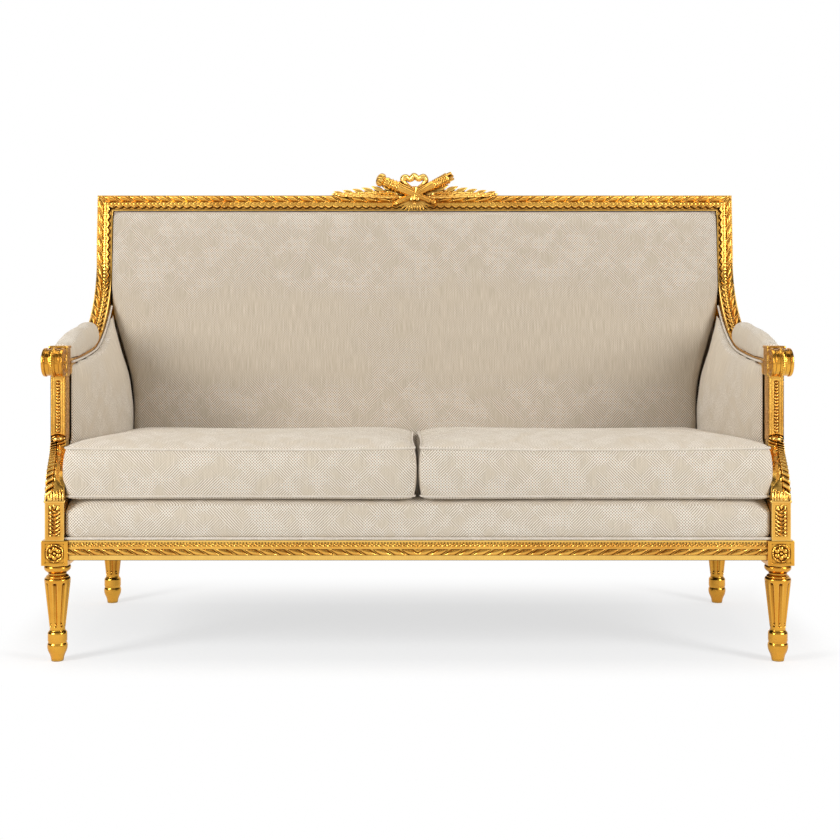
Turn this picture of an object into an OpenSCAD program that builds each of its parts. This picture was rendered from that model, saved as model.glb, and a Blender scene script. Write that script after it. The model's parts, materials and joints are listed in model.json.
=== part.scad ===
// Two-seat gilded settee with a square framed back whose stiles sweep forward
// into the arm rails. The origin is on the floor at the middle of the sofa.
// The front faces -Y, +Z is up, and lengths are in millimetres.

/* [Overall] */
// Width across the corner blocks of the seat frame
sofa_w = 1604; // [1300:1:2000]
// Depth from the front blocks to the rear of the top rail
sofa_d = 686; // [660:1:740]
// Height of the back frame without its crest
back_h = 1044; // [1000:1:1120]

/* [Legs] */
// Height of the turned part of a leg
leg_h = 207.5; // [180:0.5:240]
// Largest radius of the turning
leg_r = 27.8; // [25:0.1:28]
// Side of the square block over each leg
block_w = 57; // [56:0.5:62]
// Height of the square block
block_h = 53.5; // [50:0.5:58]
// Number of flutes round the shaft
flute_n = 8; // [6:1:10]
// Width of a flute at the top of the shaft
flute_w = 9.5; // [6:0.1:11]
// Depth of a flute at the top of the shaft
flute_cut = 3.2; // [1.5:0.1:4]
// Side of the sunk square on the face of a block
panel_w = 43; // [36:0.5:46]
// Depth of the sunk squares on blocks and posts
panel_cut = 3; // [1:0.1:4]

/* [Seat frame] */
// Height of the seat rails
rail_h = 42; // [36:0.5:46]
// Thickness of the seat rails
rail_t = 28; // [24:0.5:30]
// Setback of the rail faces behind the block faces
rail_setback = 5; // [3:0.5:7]
// Relief of the carved mouldings
relief = 4.5; // [2:0.1:5]
// Distance from the rear block to the rearmost point of the back
back_overhang = 47.5; // [44:0.5:56]
// Width of the middle brace under the seat
brace_w = 60; // [40:1:80]

/* [Arms] */
// Height of the arm rail's top at its front end
arm_h = 643; // [620:1:670]
// Distance from the block face back to the upper post
post_setback = 109; // [100:1:120]
// Width of the upper post
post_w = 34; // [30:0.5:38]
// Front to back depth of the upper post
post_d = 37; // [34:0.5:42]
// Outward lean of the upper post from the leg axis
arm_flare = 18.5; // [14:0.5:22]
// Width of the lower post over the block
foot_w = 41.5; // [40:0.5:46]
// Height of the lower post
foot_h = 86; // [76:1:96]
// Height of the carved S-curve over the lower post
scroll_h = 119; // [105:1:130]
// Radius of the rolled end of the arm
volute_r = 31.5; // [28:0.5:33]
// Width of the rolled end of the arm
volute_w = 47; // [44:0.5:50]
// Thickness of the padded armrest
pad_t = 56; // [40:0.5:62]
// Width of the padded armrest
pad_w = 56; // [46:0.5:60]

/* [Back] */
// Width of the moulded face of the back frame
frame_w = 41; // [38:0.5:44]
// Thickness of the back frame and the arm rails
frame_t = 36; // [32:0.5:40]
// Lean of the back from upright, in degrees
back_rake = 5; // [3:0.5:7]
// Straight length of a stile below the top
stile_run = 156; // [130:1:180]
// Rise of the arm rail from its front end to the start of the sweep
arm_rise = 16; // [10:0.5:24]
// Depth at which the sweep up to the back begins
sweep_start = 370; // [340:1:400]
// Width of a hidden back post
back_post_w = 30; // [26:0.5:30]
// Thickness of the outside back and outside arm panels
panel_t = 6; // [4:0.5:8]

/* [Crest] */
// Reach of the whole crest carving across the top rail
crest_w = 464; // [400:1:520]
// Length of the quiver, which crosses the torch
quiver_l = 172; // [150:1:185]
// Length of the torch
torch_l = 165; // [145:1:180]
// Radius of the quiver and the torch at their collars
quiver_r = 15.5; // [12:0.1:19]
// Height of the laurel leaves over the top rail beside the quiver and torch
laurel_h = 24; // [18:0.5:30]

/* [Upholstery] */
// Height of the upholstered deck under the cushions
deck_h = 86; // [76:1:90]
// Setback of the deck's face behind the block faces
deck_setback = 8; // [6:0.5:14]
// Height of a cushion's border between its two welts
cushion_border = 97.5; // [80:0.5:110]
// Rise of a cushion's crown over its upper welt
cushion_crown = 19; // [10:0.5:26]
// Swell of a cushion's border between the welts
cushion_bulge = 6; // [3:0.5:7]
// Amount by which a cushion's sides draw in between the corners
draw_in = 4; // [1:0.5:6]
// Gap between the two seat cushions
cushion_split = 3; // [2:0.5:8]
// Radius of the welt cord sewn into the seams
welt_r = 2.6; // [2:0.1:3]
// Swell of the back pad over the frame at seat level
back_swell_low = 108; // [90:1:112]
// Swell of the back pad over the frame at the top rail
back_swell_top = 28; // [20:1:36]
// Stuffing of the inside arm at its rear end
arm_stuffing = 63; // [50:1:66]

/* [Hidden] */

// Clearance of a glued or screwed joint
joint_gap = 0.1;
// Clearance of a soft piece from its neighbour
soft_gap = 0.3;
// Play between a loose cushion and the sofa round it
cushion_play = 3;
// Overrun of a cut past the face that it leaves
over = 2;
// Facets of round things
fine = 48;

// Heights of the seat frame
frame_top = leg_h + block_h;
rail_bottom = frame_top - rail_h;
deck_top = frame_top + deck_h;
foot_top = frame_top + foot_h;
post_bottom = foot_top + scroll_h;
post_top = arm_h - frame_t;

// Places of the legs, from the middle and from the front
leg_x = (sofa_w - block_w) / 2;
front_leg_d = block_w / 2;
rear_leg_d = sofa_d - back_overhang - block_w / 2;
rail_x0 = leg_x - block_w / 2;

// Arm posts and the frame over them
post_x = leg_x + arm_flare;
post_rear = post_setback + post_d;
frame_in = post_x - frame_w / 2;
back_flare = 8;
top_out = post_x + frame_w / 2 + back_flare;

// Direction up the back and square to its face, as depth and height
up_back = [sin(back_rake), cos(back_rake)];
out_back = [-cos(back_rake), sin(back_rake)];
top_front = [sofa_d - frame_t * cos(back_rake), back_h];
sweep_end = top_front - up_back * stile_run;

// Control points of the arm rail and of its sweep into the stile
arm_d_shares = [0, 0.33, 0.69, 1];
arm_z_shares = [0, 0.12, 0.47, 1];
arm_curve = [for (i = [0:3]) [
    post_rear + (sweep_start - post_rear) * arm_d_shares[i],
    arm_h + arm_rise * arm_z_shares[i]
]];
sweep_rise = sweep_end[1] - arm_h - arm_rise;
sweep_lead_share = 0.47;
sweep_low_share = 0.066;
sweep_high_share = 0.44;
sweep_curve = [
    [sweep_start, arm_h + arm_rise],
    [sweep_start + (sweep_end[0] - sweep_start) * sweep_lead_share,
        arm_h + arm_rise + sweep_rise * sweep_low_share],
    sweep_end - up_back * sweep_rise * sweep_high_share,
    sweep_end
];
rail_joint_share = 0.3;
pad_end_share = 0.27;

// Front face of the back posts and of the pad's base, as a straight line
post_foot_inset = 12.5;
post_foot_d = rear_leg_d - block_w / 2 + post_foot_inset;
function post_front(z) = post_foot_d
    + (sweep_end[0] - post_foot_d) * (z - frame_top) / (sweep_end[1] - frame_top);

function mix(a, b, t) = a + (b - a) * t;
function clamp01(t) = max(0, min(1, t));
function smooth(t) = let (c = clamp01(t)) c * c * (3 - 2 * c);
function total(ps, k, i = 0) = i == len(ps) ? 0 : ps[i][k] + total(ps, k, i + 1);
function mean(ps) = [for (k = [0:2]) total(ps, k) / len(ps)];
function curve_at(c, t) = c[0] * pow(1 - t, 3) + c[1] * 3 * t * pow(1 - t, 2)
    + c[2] * 3 * t * t * (1 - t) + c[3] * pow(t, 3);
function curve_dir(c, t) = let (v = (c[1] - c[0]) * pow(1 - t, 2)
    + (c[2] - c[1]) * 2 * t * (1 - t) + (c[3] - c[2]) * t * t) v / norm(v);
function square_to(dir) = [-dir[1], dir[0]];
// Point of a curve moved square to it, out of the face when off is positive
function beside(c, t, off) = curve_at(c, t) + square_to(curve_dir(c, t)) * off;
// Share of the sweep at which a line at a given depth behind its face meets the back posts
function meets_post(off, back = 0, lo = 0, hi = 1, n = 24) = n == 0 ? lo
    : let (m = (lo + hi) / 2, p = beside(sweep_curve, m, -off))
      p[0] < post_front(p[1]) + back
        ? meets_post(off, back, m, hi, n - 1) : meets_post(off, back, lo, m, n - 1);

// Closed solid through a row of rings, each listed anticlockwise about the direction of travel
module loft(rings, closed = false) {
    n = len(rings[0]);
    m = len(rings);
    ends = closed ? [] : [mean(rings[0]), mean(rings[m - 1])];
    sides = [
        for (k = [0:m - (closed ? 1 : 2)], i = [0:n - 1])
            let (a = k * n + i, b = k * n + (i + 1) % n)
            let (c = ((k + 1) % m) * n + (i + 1) % n, d = ((k + 1) % m) * n + i)
            each [[a, d, c], [a, c, b]]
    ];
    caps = closed ? [] : [
        for (i = [0:n - 1])
            each [[m * n, i, (i + 1) % n], [m * n + 1, (m - 1) * n + (i + 1) % n, (m - 1) * n + i]]
    ];
    polyhedron(points = [for (r = rings) each r, each ends], faces = concat(sides, caps), convexity = 6);
}

// Round cord along a path that lies in a plane with the given normal
module cord(path, r, normal, sides = 8, closed = false) {
    m = len(path);
    loft([
        for (i = [0:m - 1])
            let (next = path[closed ? (i + 1) % m : min(i + 1, m - 1)])
            let (last = path[closed ? (i + m - 1) % m : max(i - 1, 0)])
            let (t = (next - last) / norm(next - last))
            let (e = cross(normal, t) / norm(cross(normal, t)))
            [for (a = [0:360 / sides:359]) path[i] + (e * cos(a) + normal * sin(a)) * r]
    ], closed);
}

// Prism along X between two places, from an outline in depth and height
module across(x0, x1, outline) {
    translate([x0, 0, 0]) rotate([90, 0, 90]) linear_extrude(x1 - x0) polygon(outline);
}

// Moves a piece from depths behind the front to the sofa's own frame
module place() {
    translate([0, -sofa_d / 2, 0]) children();
}

// Right-hand piece as drawn for side 1, and its mirror image for side -1
module sided(side) {
    place() if (side > 0) children(); else mirror([1, 0, 0]) children();
}

module gilt() {
    color([0.83, 0.62, 0.25]) children();
}

module beech() {
    color([0.72, 0.58, 0.42]) children();
}

module cloth() {
    color([0.82, 0.76, 0.68]) children();
}

module piping() {
    color([0.76, 0.71, 0.63]) children();
}

// Turned leg, from the foot up: height share, radius share and swell share of each stretch
leg_shares = [
    [0, 0.464, 0], [0.039, 0.513, 0], [0.07, 0.59, 0.01], [0.111, 0.727, 0.015],
    [0.158, 0.775, 0], [0.175, 0.757, 0], [0.188, 0.708, 0], [0.2, 0.712, 0],
    [0.212, 0.745, 0], [0.288, 0.742, 0], [0.3, 0.7, 0], [0.316, 0.6, 0],
    [0.33, 0.585, 0], [0.836, 1.003, 0.035], [0.887, 0.77, 0], [0.899, 0.69, 0],
    [0.912, 0.7, 0.03], [0.941, 0.985, 0], [0.955, 1.015, 0], [1, 1.015, 0]
];
leg_steps = 4;
shaft_foot = leg_shares[12];
shaft_head = leg_shares[13];
function leg_stretch(a, b) = a[2] == 0 ? [[a[1] * leg_r, a[0] * leg_h]] : [
    for (i = [0:leg_steps - 1]) let (t = i / leg_steps)
        [(mix(a[1], b[1], t) + a[2] * sin(180 * t)) * leg_r, mix(a[0], b[0], t) * leg_h]
];

// Groove with round ends, drawn as a revolve about the line that it is cut along
flute_taper_share = 0.62;
flute_start_share = 0.06;
flute_end_share = 0.92;
flute_turn = 18;
module flute() {
    foot = [shaft_foot[1] * leg_r, shaft_foot[0] * leg_h];
    head = [shaft_head[1] * leg_r, shaft_head[0] * leg_h];
    run = head - foot;
    r1 = (pow(flute_w / 2, 2) + pow(flute_cut, 2)) / (2 * flute_cut);
    r0 = r1 * flute_taper_share;
    low = foot + run * flute_start_share;
    span = norm(run) * (flute_end_share - flute_start_share);
    sink = r1 - flute_cut;
    sink_low = sink * flute_taper_share;
    lean = atan2(run[0] + sink - sink_low, run[1]);
    outline = concat(
        [for (a = [-90:flute_turn:0]) [r0 * cos(a), r0 + r0 * sin(a)]],
        [for (a = [0:flute_turn:90]) [r1 * cos(a), span - r1 + r1 * sin(a)]]
    );
    translate([low[0] + sink_low, 0, low[1]]) rotate([0, lean, 0])
        rotate_extrude($fn = 24) polygon(outline);
}

// Sunk square on a face that looks to the front, with a round boss in its middle
boss_w_share = 0.88;
boss_shares = [
    [1, 0.35], [0.86, 0.7], [0.66, 0.35], [0.36, 0.35], [0.3, 0.8], [0.14, 1], [0, 1]
];
module panel_sink(w, h) {
    translate([-w / 2, -over, -h / 2]) cube([w, panel_cut + over, h]);
}

module boss() {
    r = panel_w * boss_w_share / 2;
    translate([0, panel_cut, 0]) rotate([90, 0, 0]) rotate_extrude($fn = fine)
        polygon(concat([[0, -over], [r, -over]], [for (q = boss_shares) [q[0] * r, q[1] * panel_cut]]));
}

// Joints of the seat frame: tenons on the rails, dowels under the posts, bolts through the glue blocks
tenon_t = 12;
tenon_l = 22;
tenon_h = 26;
dowel_r = 5;
dowel_l = 40;
dowel_gap = 1;
bolt_r = 3;
bolt_l = 46;
bolt_head_r = 6;
bolt_head_h = 3;
glue_block_run = 50;
rail_mid_z = rail_bottom + rail_h / 2;
rail_in_d = rail_setback + rail_t;
side_in = sofa_w / 2 - rail_in_d;
back_post_x = frame_in + back_post_w / 2;

// Draws a front corner's piece in its place, or its image at the rear
module corner(front) {
    if (front) children();
    else translate([0, front_leg_d + rear_leg_d, 0]) mirror([0, 1, 0]) children();
}

// Line of the bolt through a front corner's glue block into the leg block
module bolt_line() {
    mid_x = (rail_x0 - glue_block_run + side_in) / 2;
    mid_d = (rail_in_d + block_w + glue_block_run) / 2;
    translate([mid_x, mid_d, rail_mid_z]) rotate([0, 90, -45]) children();
}

module dowel_hole(x, d, z) {
    translate([x, d, z - dowel_l / 2 - dowel_gap])
        cylinder(r = dowel_r + joint_gap, h = dowel_l + 2 * dowel_gap, $fn = fine);
}

module leg(front) {
    mortise_t = tenon_t + 2 * joint_gap;
    mortise_l = tenon_l + over + joint_gap;
    mortise_h = tenon_h + 2 * joint_gap;
    outline = concat(
        [for (k = [0:len(leg_shares) - 2]) each leg_stretch(leg_shares[k], leg_shares[k + 1])],
        [[leg_shares[len(leg_shares) - 1][1] * leg_r, leg_h], [leg_r - over, leg_h + over]],
        [[0, leg_h + over], [0, 0]]
    );
    corner(front) union() {
        translate([leg_x, front_leg_d, 0]) difference() {
            rotate_extrude($fn = fine) polygon(outline);
            for (a = [0:360 / flute_n:359])
                rotate([0, 0, a - 90]) flute();
        }
        difference() {
            union() {
                difference() {
                    translate([rail_x0, 0, leg_h]) cube([block_w, block_w, block_h]);
                    if (front)
                        translate([leg_x, 0, leg_h + block_h / 2]) panel_sink(panel_w, panel_w);
                    translate([sofa_w / 2, front_leg_d, leg_h + block_h / 2]) rotate([0, 0, 90])
                        panel_sink(panel_w, panel_w);
                }
                if (front)
                    translate([leg_x, 0, leg_h + block_h / 2]) boss();
                translate([sofa_w / 2, front_leg_d, leg_h + block_h / 2]) rotate([0, 0, 90]) boss();
            }
            translate([rail_x0 - over, rail_setback + (rail_t - mortise_t) / 2, rail_mid_z - mortise_h / 2])
                cube([mortise_l, mortise_t, mortise_h]);
            translate([side_in + (rail_t - mortise_t) / 2, block_w + over - mortise_l,
                    rail_mid_z - mortise_h / 2])
                cube([mortise_t, mortise_l, mortise_h]);
            if (front)
                dowel_hole(leg_x, foot_w / 2, frame_top);
            else
                dowel_hole(back_post_x, front_leg_d + rear_leg_d - post_foot_d - frame_t / 2, frame_top);
            bolt_line() cylinder(r = bolt_r + joint_gap, h = bolt_l + dowel_gap, $fn = fine);
        }
    }
}

module front_leg_left() { gilt() sided(-1) leg(true); }
module front_leg_right() { gilt() sided(1) leg(true); }
module rear_leg_left() { gilt() sided(-1) leg(false); }
module rear_leg_right() { gilt() sided(1) leg(false); }

// Carved face of a seat rail from the bottom up, as shares of the relief and of the rail's height
rail_fillet_share = 0.25;
rail_twist_mid_share = 0.41;
rail_twist_r_share = 0.13;
rail_face_shares = concat(
    [[rail_fillet_share, 0], [rail_fillet_share, 0.24], [0, 0.27]],
    [for (a = [-90:30:90]) [0.9 * cos(a), rail_twist_mid_share + rail_twist_r_share * sin(a)]],
    [[0, 0.57], [0.3, 0.59], [0.3, 0.73], [0, 0.75], [0.4, 0.79], [0.8, 0.88], [0.6, 0.93], [1, 0.94], [1, 1]]
);
rebate_w = 14;
rebate_h = 5;
function rail_section() = concat(
    [for (f = rail_face_shares) [rail_setback + relief * (1 - f[0]), rail_bottom + rail_h * f[1]]],
    [
        [rail_in_d - rebate_w, frame_top], [rail_in_d - rebate_w, frame_top - rebate_h],
        [rail_in_d, frame_top - rebate_h], [rail_in_d, rail_bottom]
    ]
);
function plain_section() = [
    [rail_setback, rail_bottom], [rail_setback, frame_top], [rail_in_d - rebate_w, frame_top],
    [rail_in_d - rebate_w, frame_top - rebate_h], [rail_in_d, frame_top - rebate_h], [rail_in_d, rail_bottom]
];

// Rail between two places with a tenon on each end, its moulded face to the front
module tenoned_rail(x0, x1, section) {
    across(x0, x1, section);
    translate([x0 - tenon_l, rail_setback + (rail_t - tenon_t) / 2, rail_mid_z - tenon_h / 2])
        cube([x1 - x0 + 2 * tenon_l, tenon_t, tenon_h]);
}

module front_rail() { gilt() place() tenoned_rail(-rail_x0, rail_x0, rail_section()); }
module rear_rail() { gilt() place() corner(false) tenoned_rail(-rail_x0, rail_x0, plain_section()); }
module side_rail() {
    translate([sofa_w / 2, 0, 0]) rotate([0, 0, 90])
        tenoned_rail(block_w, rear_leg_d - block_w / 2, rail_section());
}
module side_rail_left() { gilt() sided(-1) side_rail(); }
module side_rail_right() { gilt() sided(1) side_rail(); }

// Dished brace that ties the front rail to the rear rail under the straps
brace_dip = 12;
brace_drop = 2;
brace_steps = 12;
module seat_brace() {
    d0 = rail_in_d + joint_gap;
    d1 = front_leg_d + rear_leg_d - rail_in_d - joint_gap;
    top = frame_top - rebate_h - brace_drop;
    beech() place() across(-brace_w / 2, brace_w / 2, concat(
        [[d0, rail_bottom + brace_drop], [d1, rail_bottom + brace_drop]],
        [for (i = [brace_steps:-1:0]) let (t = i / brace_steps)
            [mix(d0, d1, t), top - brace_dip * sin(180 * t)]]
    ));
}

// Glue blocks that fill the corners of the seat frame
module corner_blocks() {
    g = joint_gap;
    outline = [
        [rail_x0 - glue_block_run, rail_in_d + g], [rail_x0 - g, rail_in_d + g], [rail_x0 - g, block_w + g],
        [side_in - g, block_w + g], [side_in - g, block_w + glue_block_run]
    ];
    beech() for (side = [-1, 1], front = [true, false])
        sided(side) corner(front) difference() {
            translate([0, 0, rail_bottom + brace_drop])
                linear_extrude(rail_h - rebate_h - 2 * brace_drop) polygon(outline);
            bolt_line() translate([0, 0, -over])
                cylinder(r = bolt_r + joint_gap, h = bolt_l + over, $fn = fine);
        }
}

module corner_bolts() {
    color([0.6, 0.6, 0.62]) for (side = [-1, 1], front = [true, false])
        sided(side) corner(front) bolt_line() union() {
            cylinder(r = bolt_r, h = bolt_l, $fn = fine);
            translate([0, 0, -bolt_head_h - joint_gap]) difference() {
                cylinder(r = bolt_head_r, h = bolt_head_h, $fn = fine);
                translate([0, 0, -over]) cylinder(r = bolt_r * 0.8, h = over + bolt_head_h / 2, $fn = 6);
            }
            translate([0, 0, -joint_gap - over / 4]) cylinder(r = bolt_r, h = over, $fn = fine);
        }
}

module frame_dowels() {
    beech() for (side = [-1, 1]) sided(side) {
        for (at = [
            [leg_x, foot_w / 2, frame_top], [post_x, post_setback + post_d / 2, post_top],
            [back_post_x, post_foot_d + frame_t / 2, frame_top]
        ])
            translate(at - [0, 0, dowel_l / 2]) cylinder(r = dowel_r, h = dowel_l, $fn = fine);
    }
}

// Front support of an arm: square foot, carved S-curve and channelled upper post in one piece
scroll_curve = [
    [foot_w / 2, foot_top], [foot_w / 2, foot_top + scroll_h * 0.57],
    [post_setback + post_d / 2, foot_top + scroll_h * 0.43], [post_setback + post_d / 2, post_bottom]
];
scroll_steps = 12;
// Section of the S-curve with its midrib, as shares of its width and thickness
scroll_shares = [
    [-0.5, -0.5], [0.5, -0.5], [0.5, 0.22], [0.44, 0.38], [0.26, 0.3], [0.1, 0.5],
    [-0.1, 0.5], [-0.26, 0.3], [-0.44, 0.38], [-0.5, 0.22]
];
scroll_swell = 3;
function scroll_half(t) = mix(foot_w, post_d, t) / 2 + scroll_swell * sin(180 * t);
function scroll_ring(t, lift = 0) = let (c = curve_at(scroll_curve, t))
    let (n = square_to(curve_dir(scroll_curve, t)))
    [for (q = scroll_shares) let (off = n * q[1] * 2 * scroll_half(t)) [
        mix(leg_x, post_x, smooth(t)) - q[0] * mix(foot_w, post_w, t), c[0] + off[0], c[1] + off[1] + lift
    ]];
foot_panel_w = 27;
foot_panel_h = 68;
channel_w = 17;
channel_margin = 9;
bead_n = 7;
bead_r = 5.4;
bead_small_share = 0.4;
bud_r = 7.5;

module arm_support() {
    channel_h = post_top - post_bottom - 2 * channel_margin;
    difference() {
        union() {
            difference() {
                translate([leg_x - foot_w / 2, 0, frame_top]) cube([foot_w, foot_w, foot_h]);
                translate([leg_x, 0, frame_top + foot_h / 2]) panel_sink(foot_panel_w, foot_panel_h);
            }
            loft(concat(
                [scroll_ring(0, -over)],
                [for (i = [0:scroll_steps]) scroll_ring(i / scroll_steps)],
                [scroll_ring(1, over)]
            ));
            difference() {
                translate([post_x - post_w / 2, post_setback, post_bottom])
                    cube([post_w, post_d, post_top - post_bottom]);
                translate([post_x, post_setback, (post_top + post_bottom) / 2])
                    panel_sink(channel_w, channel_h);
            }
            for (i = [0:bead_n - 1])
                let (t = i / (bead_n - 1), r = bead_r * mix(1, bead_small_share, t))
                    translate([post_x, post_setback + panel_cut,
                            post_bottom + channel_margin + bead_r + (channel_h - 2 * bead_r) * t])
                        sphere(r = r, $fn = 24);
            translate([post_x, post_setback + bud_r / 2, post_bottom]) sphere(r = bud_r, $fn = 32);
        }
        dowel_hole(leg_x, foot_w / 2, frame_top);
        dowel_hole(post_x, post_setback + post_d / 2, post_top);
    }
}
module arm_support_left() { gilt() sided(-1) arm_support(); }
module arm_support_right() { gilt() sided(1) arm_support(); }

// Arm rail: rolled end with bands and sunk spirals, the block behind it and the rail under the pad
volute_lead = 16;
volute_drop = 6;
volute_out = 4;
arm_block_w = 40;
arm_block_rise = 29;
volute_shares = [
    [0, 0.04], [0.25, 0], [0.3, 0.05], [0.8, 0.05], [0.87, 0], [1, 0.02], [1, 0.15], [0.93, 0.19],
    [0.93, 0.4], [1, 0.44], [1, 0.56], [0.93, 0.6], [0.93, 0.81], [1, 0.85], [1, 0.98], [0.87, 1],
    [0.8, 0.95], [0.3, 0.95], [0.25, 1], [0, 0.96]
];
edge_chamfer = 3;
arm_steps = 6;
arm_stations = concat(
    [for (i = [0:arm_steps]) [0, i / arm_steps]],
    [for (t = [0.3, 0.55, 0.75, 0.88, 0.96, 1]) [1, t * pad_end_share]]
);
sweep_steps = 14;
function arm_section() = let (c = edge_chamfer, w = frame_w, t = frame_t) [
    [c, -t], [w - c, -t], [w, c - t], [w, -c], [w - c, 0], [c, 0], [0, -c], [0, c - t]
];
function frame_out(t) = post_x + frame_w / 2 + back_flare * t * t;
function arm_ring(t, shift = 0) = [for (q = arm_section()) let (p = beside(arm_curve, t, q[1]))
    [frame_out(0) - q[0], p[0] + shift, p[1]]];
function sweep_ring(section, t) = [for (q = section) let (p = beside(sweep_curve, t, q[1]))
    [frame_out(t) - q[0], p[0], p[1]]];

module arm_rail() {
    difference() {
        union() {
            translate([post_x + volute_out - volute_w / 2, post_setback - volute_lead, arm_h - volute_drop])
                rotate([0, 90, 0]) rotate_extrude($fn = fine)
                    polygon([for (q = volute_shares) [q[0] * volute_r, q[1] * volute_w]]);
            translate([post_x - arm_block_w / 2, post_setback, post_top])
                cube([arm_block_w, post_d, frame_t + arm_block_rise]);
            loft(concat(
                [arm_ring(0, -over)],
                [for (s = arm_stations) s[0] == 0 ? arm_ring(s[1]) : sweep_ring(arm_section(), s[1])],
                [sweep_ring(arm_section(), rail_joint_share)]
            ));
        }
        dowel_hole(post_x, post_setback + post_d / 2, post_top);
    }
}
module arm_rail_left() { gilt() sided(-1) arm_rail(); }
module arm_rail_right() { gilt() sided(1) arm_rail(); }

// Moulded section of the back frame from its inner edge out, as shares of its width and relief
frame_face_shares = concat(
    [[1, 0.8], [0.97, 1], [0.88, 1], [0.86, 0.1], [0.84, 0.15], [0.78, 0.6], [0.66, 0.82]],
    [[0.52, 0.65], [0.42, 0.3], [0.38, 0.05]],
    [for (a = [0:30:180]) [0.21 + 0.14 * cos(a), 0.05 + 0.95 * sin(a)]],
    [[0, 0.05]]
);
function frame_section(rise) = concat(
    [[0, -frame_t], [frame_w, -frame_t]],
    [for (q = frame_face_shares) [q[0] * frame_w, q[1] * relief * rise]]
);
moulding_start_share = 0.05;
function moulding_rise(t) = smooth((t - pad_end_share) / moulding_start_share);

module back_stile() {
    t0 = rail_joint_share + joint_gap / norm(sweep_curve[3] - sweep_curve[0]);
    loft(concat(
        [for (i = [0:sweep_steps]) let (t = mix(t0, 1, i / sweep_steps))
            sweep_ring(frame_section(moulding_rise(t)), t)],
        [[for (q = frame_section(1)) let (p = top_front - up_back * (q[0] + joint_gap) + out_back * q[1])
            [top_out - q[0], p[0], p[1]]]]
    ));
}
module back_stile_left() { gilt() sided(-1) back_stile(); }
module back_stile_right() { gilt() sided(1) back_stile(); }

module back_top_rail() {
    gilt() place() loft([for (side = [1, -1])
        [for (q = frame_section(1)) let (p = top_front - up_back * q[0] + out_back * q[1])
            [side * (top_out - q[0]), p[0], p[1]]]
    ]);
}

// Hidden posts, tacking rails and lower back rail
post_top_steps = 6;
module back_post() {
    t0 = meets_post(frame_t + joint_gap);
    across(frame_in, frame_in + back_post_w, concat(
        [[post_foot_d, frame_top], [post_foot_d + frame_t, frame_top]],
        [for (i = [post_top_steps:-1:0])
            beside(sweep_curve, mix(t0, 1, i / post_top_steps), -frame_t - joint_gap)]
    ));
}
module back_post_with_hole() {
    difference() {
        back_post();
        dowel_hole(back_post_x, post_foot_d + frame_t / 2, frame_top);
    }
}
module back_post_left() { gilt() sided(-1) back_post_with_hole(); }
module back_post_right() { gilt() sided(1) back_post_with_hole(); }

tack_rail_w = 16;
tack_rail_h = 38;
module arm_tack_rail() {
    translate([side_in + edge_chamfer, foot_w + joint_gap, frame_top])
        cube([tack_rail_w, post_foot_d - foot_w - 2 * joint_gap, tack_rail_h]);
}
module arm_tack_rail_left() { beech() sided(-1) arm_tack_rail(); }
module arm_tack_rail_right() { beech() sided(1) arm_tack_rail(); }

lower_rail_lift = 29;
lower_rail_z = frame_top + lower_rail_lift;
lower_rail_h = 52;
pad_back_t = 10;
strap_t = 2;
lower_rail_t = frame_t - panel_t - pad_back_t - strap_t - 4 * soft_gap;
function behind_pad(z, off) = [post_front(z) + pad_back_t + off, z];
module back_lower_rail() {
    g = 2 * soft_gap + strap_t;
    beech() place() across(-frame_in + joint_gap, frame_in - joint_gap, [
        behind_pad(lower_rail_z, g), behind_pad(lower_rail_z, g + lower_rail_t),
        behind_pad(lower_rail_z + lower_rail_h, g + lower_rail_t), behind_pad(lower_rail_z + lower_rail_h, g)
    ]);
}

// Webbing straps of the seat and the back, and the dust cover under the seat
strap_w = 50;
long_strap_n = 13;
long_strap_reach_share = 0.9;
cross_strap_n = 5;
strap_margin = 1;
module seat_straps_long() {
    d0 = rail_in_d - rebate_w + strap_margin;
    reach = rail_x0 * long_strap_reach_share;
    color([0.45, 0.36, 0.24]) place() for (i = [0:long_strap_n - 1])
        translate([mix(-reach, reach, i / (long_strap_n - 1)) - strap_w / 2, d0,
                frame_top - rebate_h + joint_gap])
            cube([strap_w, front_leg_d + rear_leg_d - 2 * d0, strap_t]);
}
module seat_straps_cross() {
    x1 = side_in + rebate_w - strap_margin;
    d0 = block_w + strap_w;
    d1 = rear_leg_d - block_w / 2 - strap_w;
    color([0.40, 0.32, 0.22]) place() for (i = [0:cross_strap_n - 1])
        translate([-x1, mix(d0, d1, i / (cross_strap_n - 1)) - strap_w / 2,
                frame_top - rebate_h + strap_t + 2 * joint_gap])
            cube([2 * x1, strap_w, strap_t]);
}
back_strap_n = 11;
back_strap_reach_share = 0.9;
module back_straps() {
    reach = frame_in * back_strap_reach_share;
    z1 = back_h - (frame_w + strap_t) * cos(back_rake) - soft_gap;
    color([0.45, 0.36, 0.24]) place() for (i = [0:back_strap_n - 1])
        let (x = mix(-reach, reach, i / (back_strap_n - 1)))
            across(x - strap_w / 2, x + strap_w / 2, [
                behind_pad(lower_rail_z, soft_gap), behind_pad(lower_rail_z, soft_gap + strap_t),
                behind_pad(z1, soft_gap + strap_t), behind_pad(z1, soft_gap)
            ]);
}
dust_cover_t = 1;
dust_cover_margin = 4;
module dust_cover() {
    w = sofa_w / 2 - rail_setback - dust_cover_margin;
    d0 = rail_setback + dust_cover_margin;
    corner_w = block_w + joint_gap;
    color([0.12, 0.11, 0.11]) place()
        translate([0, 0, rail_bottom - dust_cover_t - joint_gap]) linear_extrude(dust_cover_t) difference() {
            translate([-w, d0]) square([2 * w, front_leg_d + rear_leg_d - 2 * d0]);
            for (side = [-1, 1], d = [front_leg_d, rear_leg_d])
                translate([side * leg_x, d]) square(2 * corner_w - block_w, center = true);
        }
}

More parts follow.
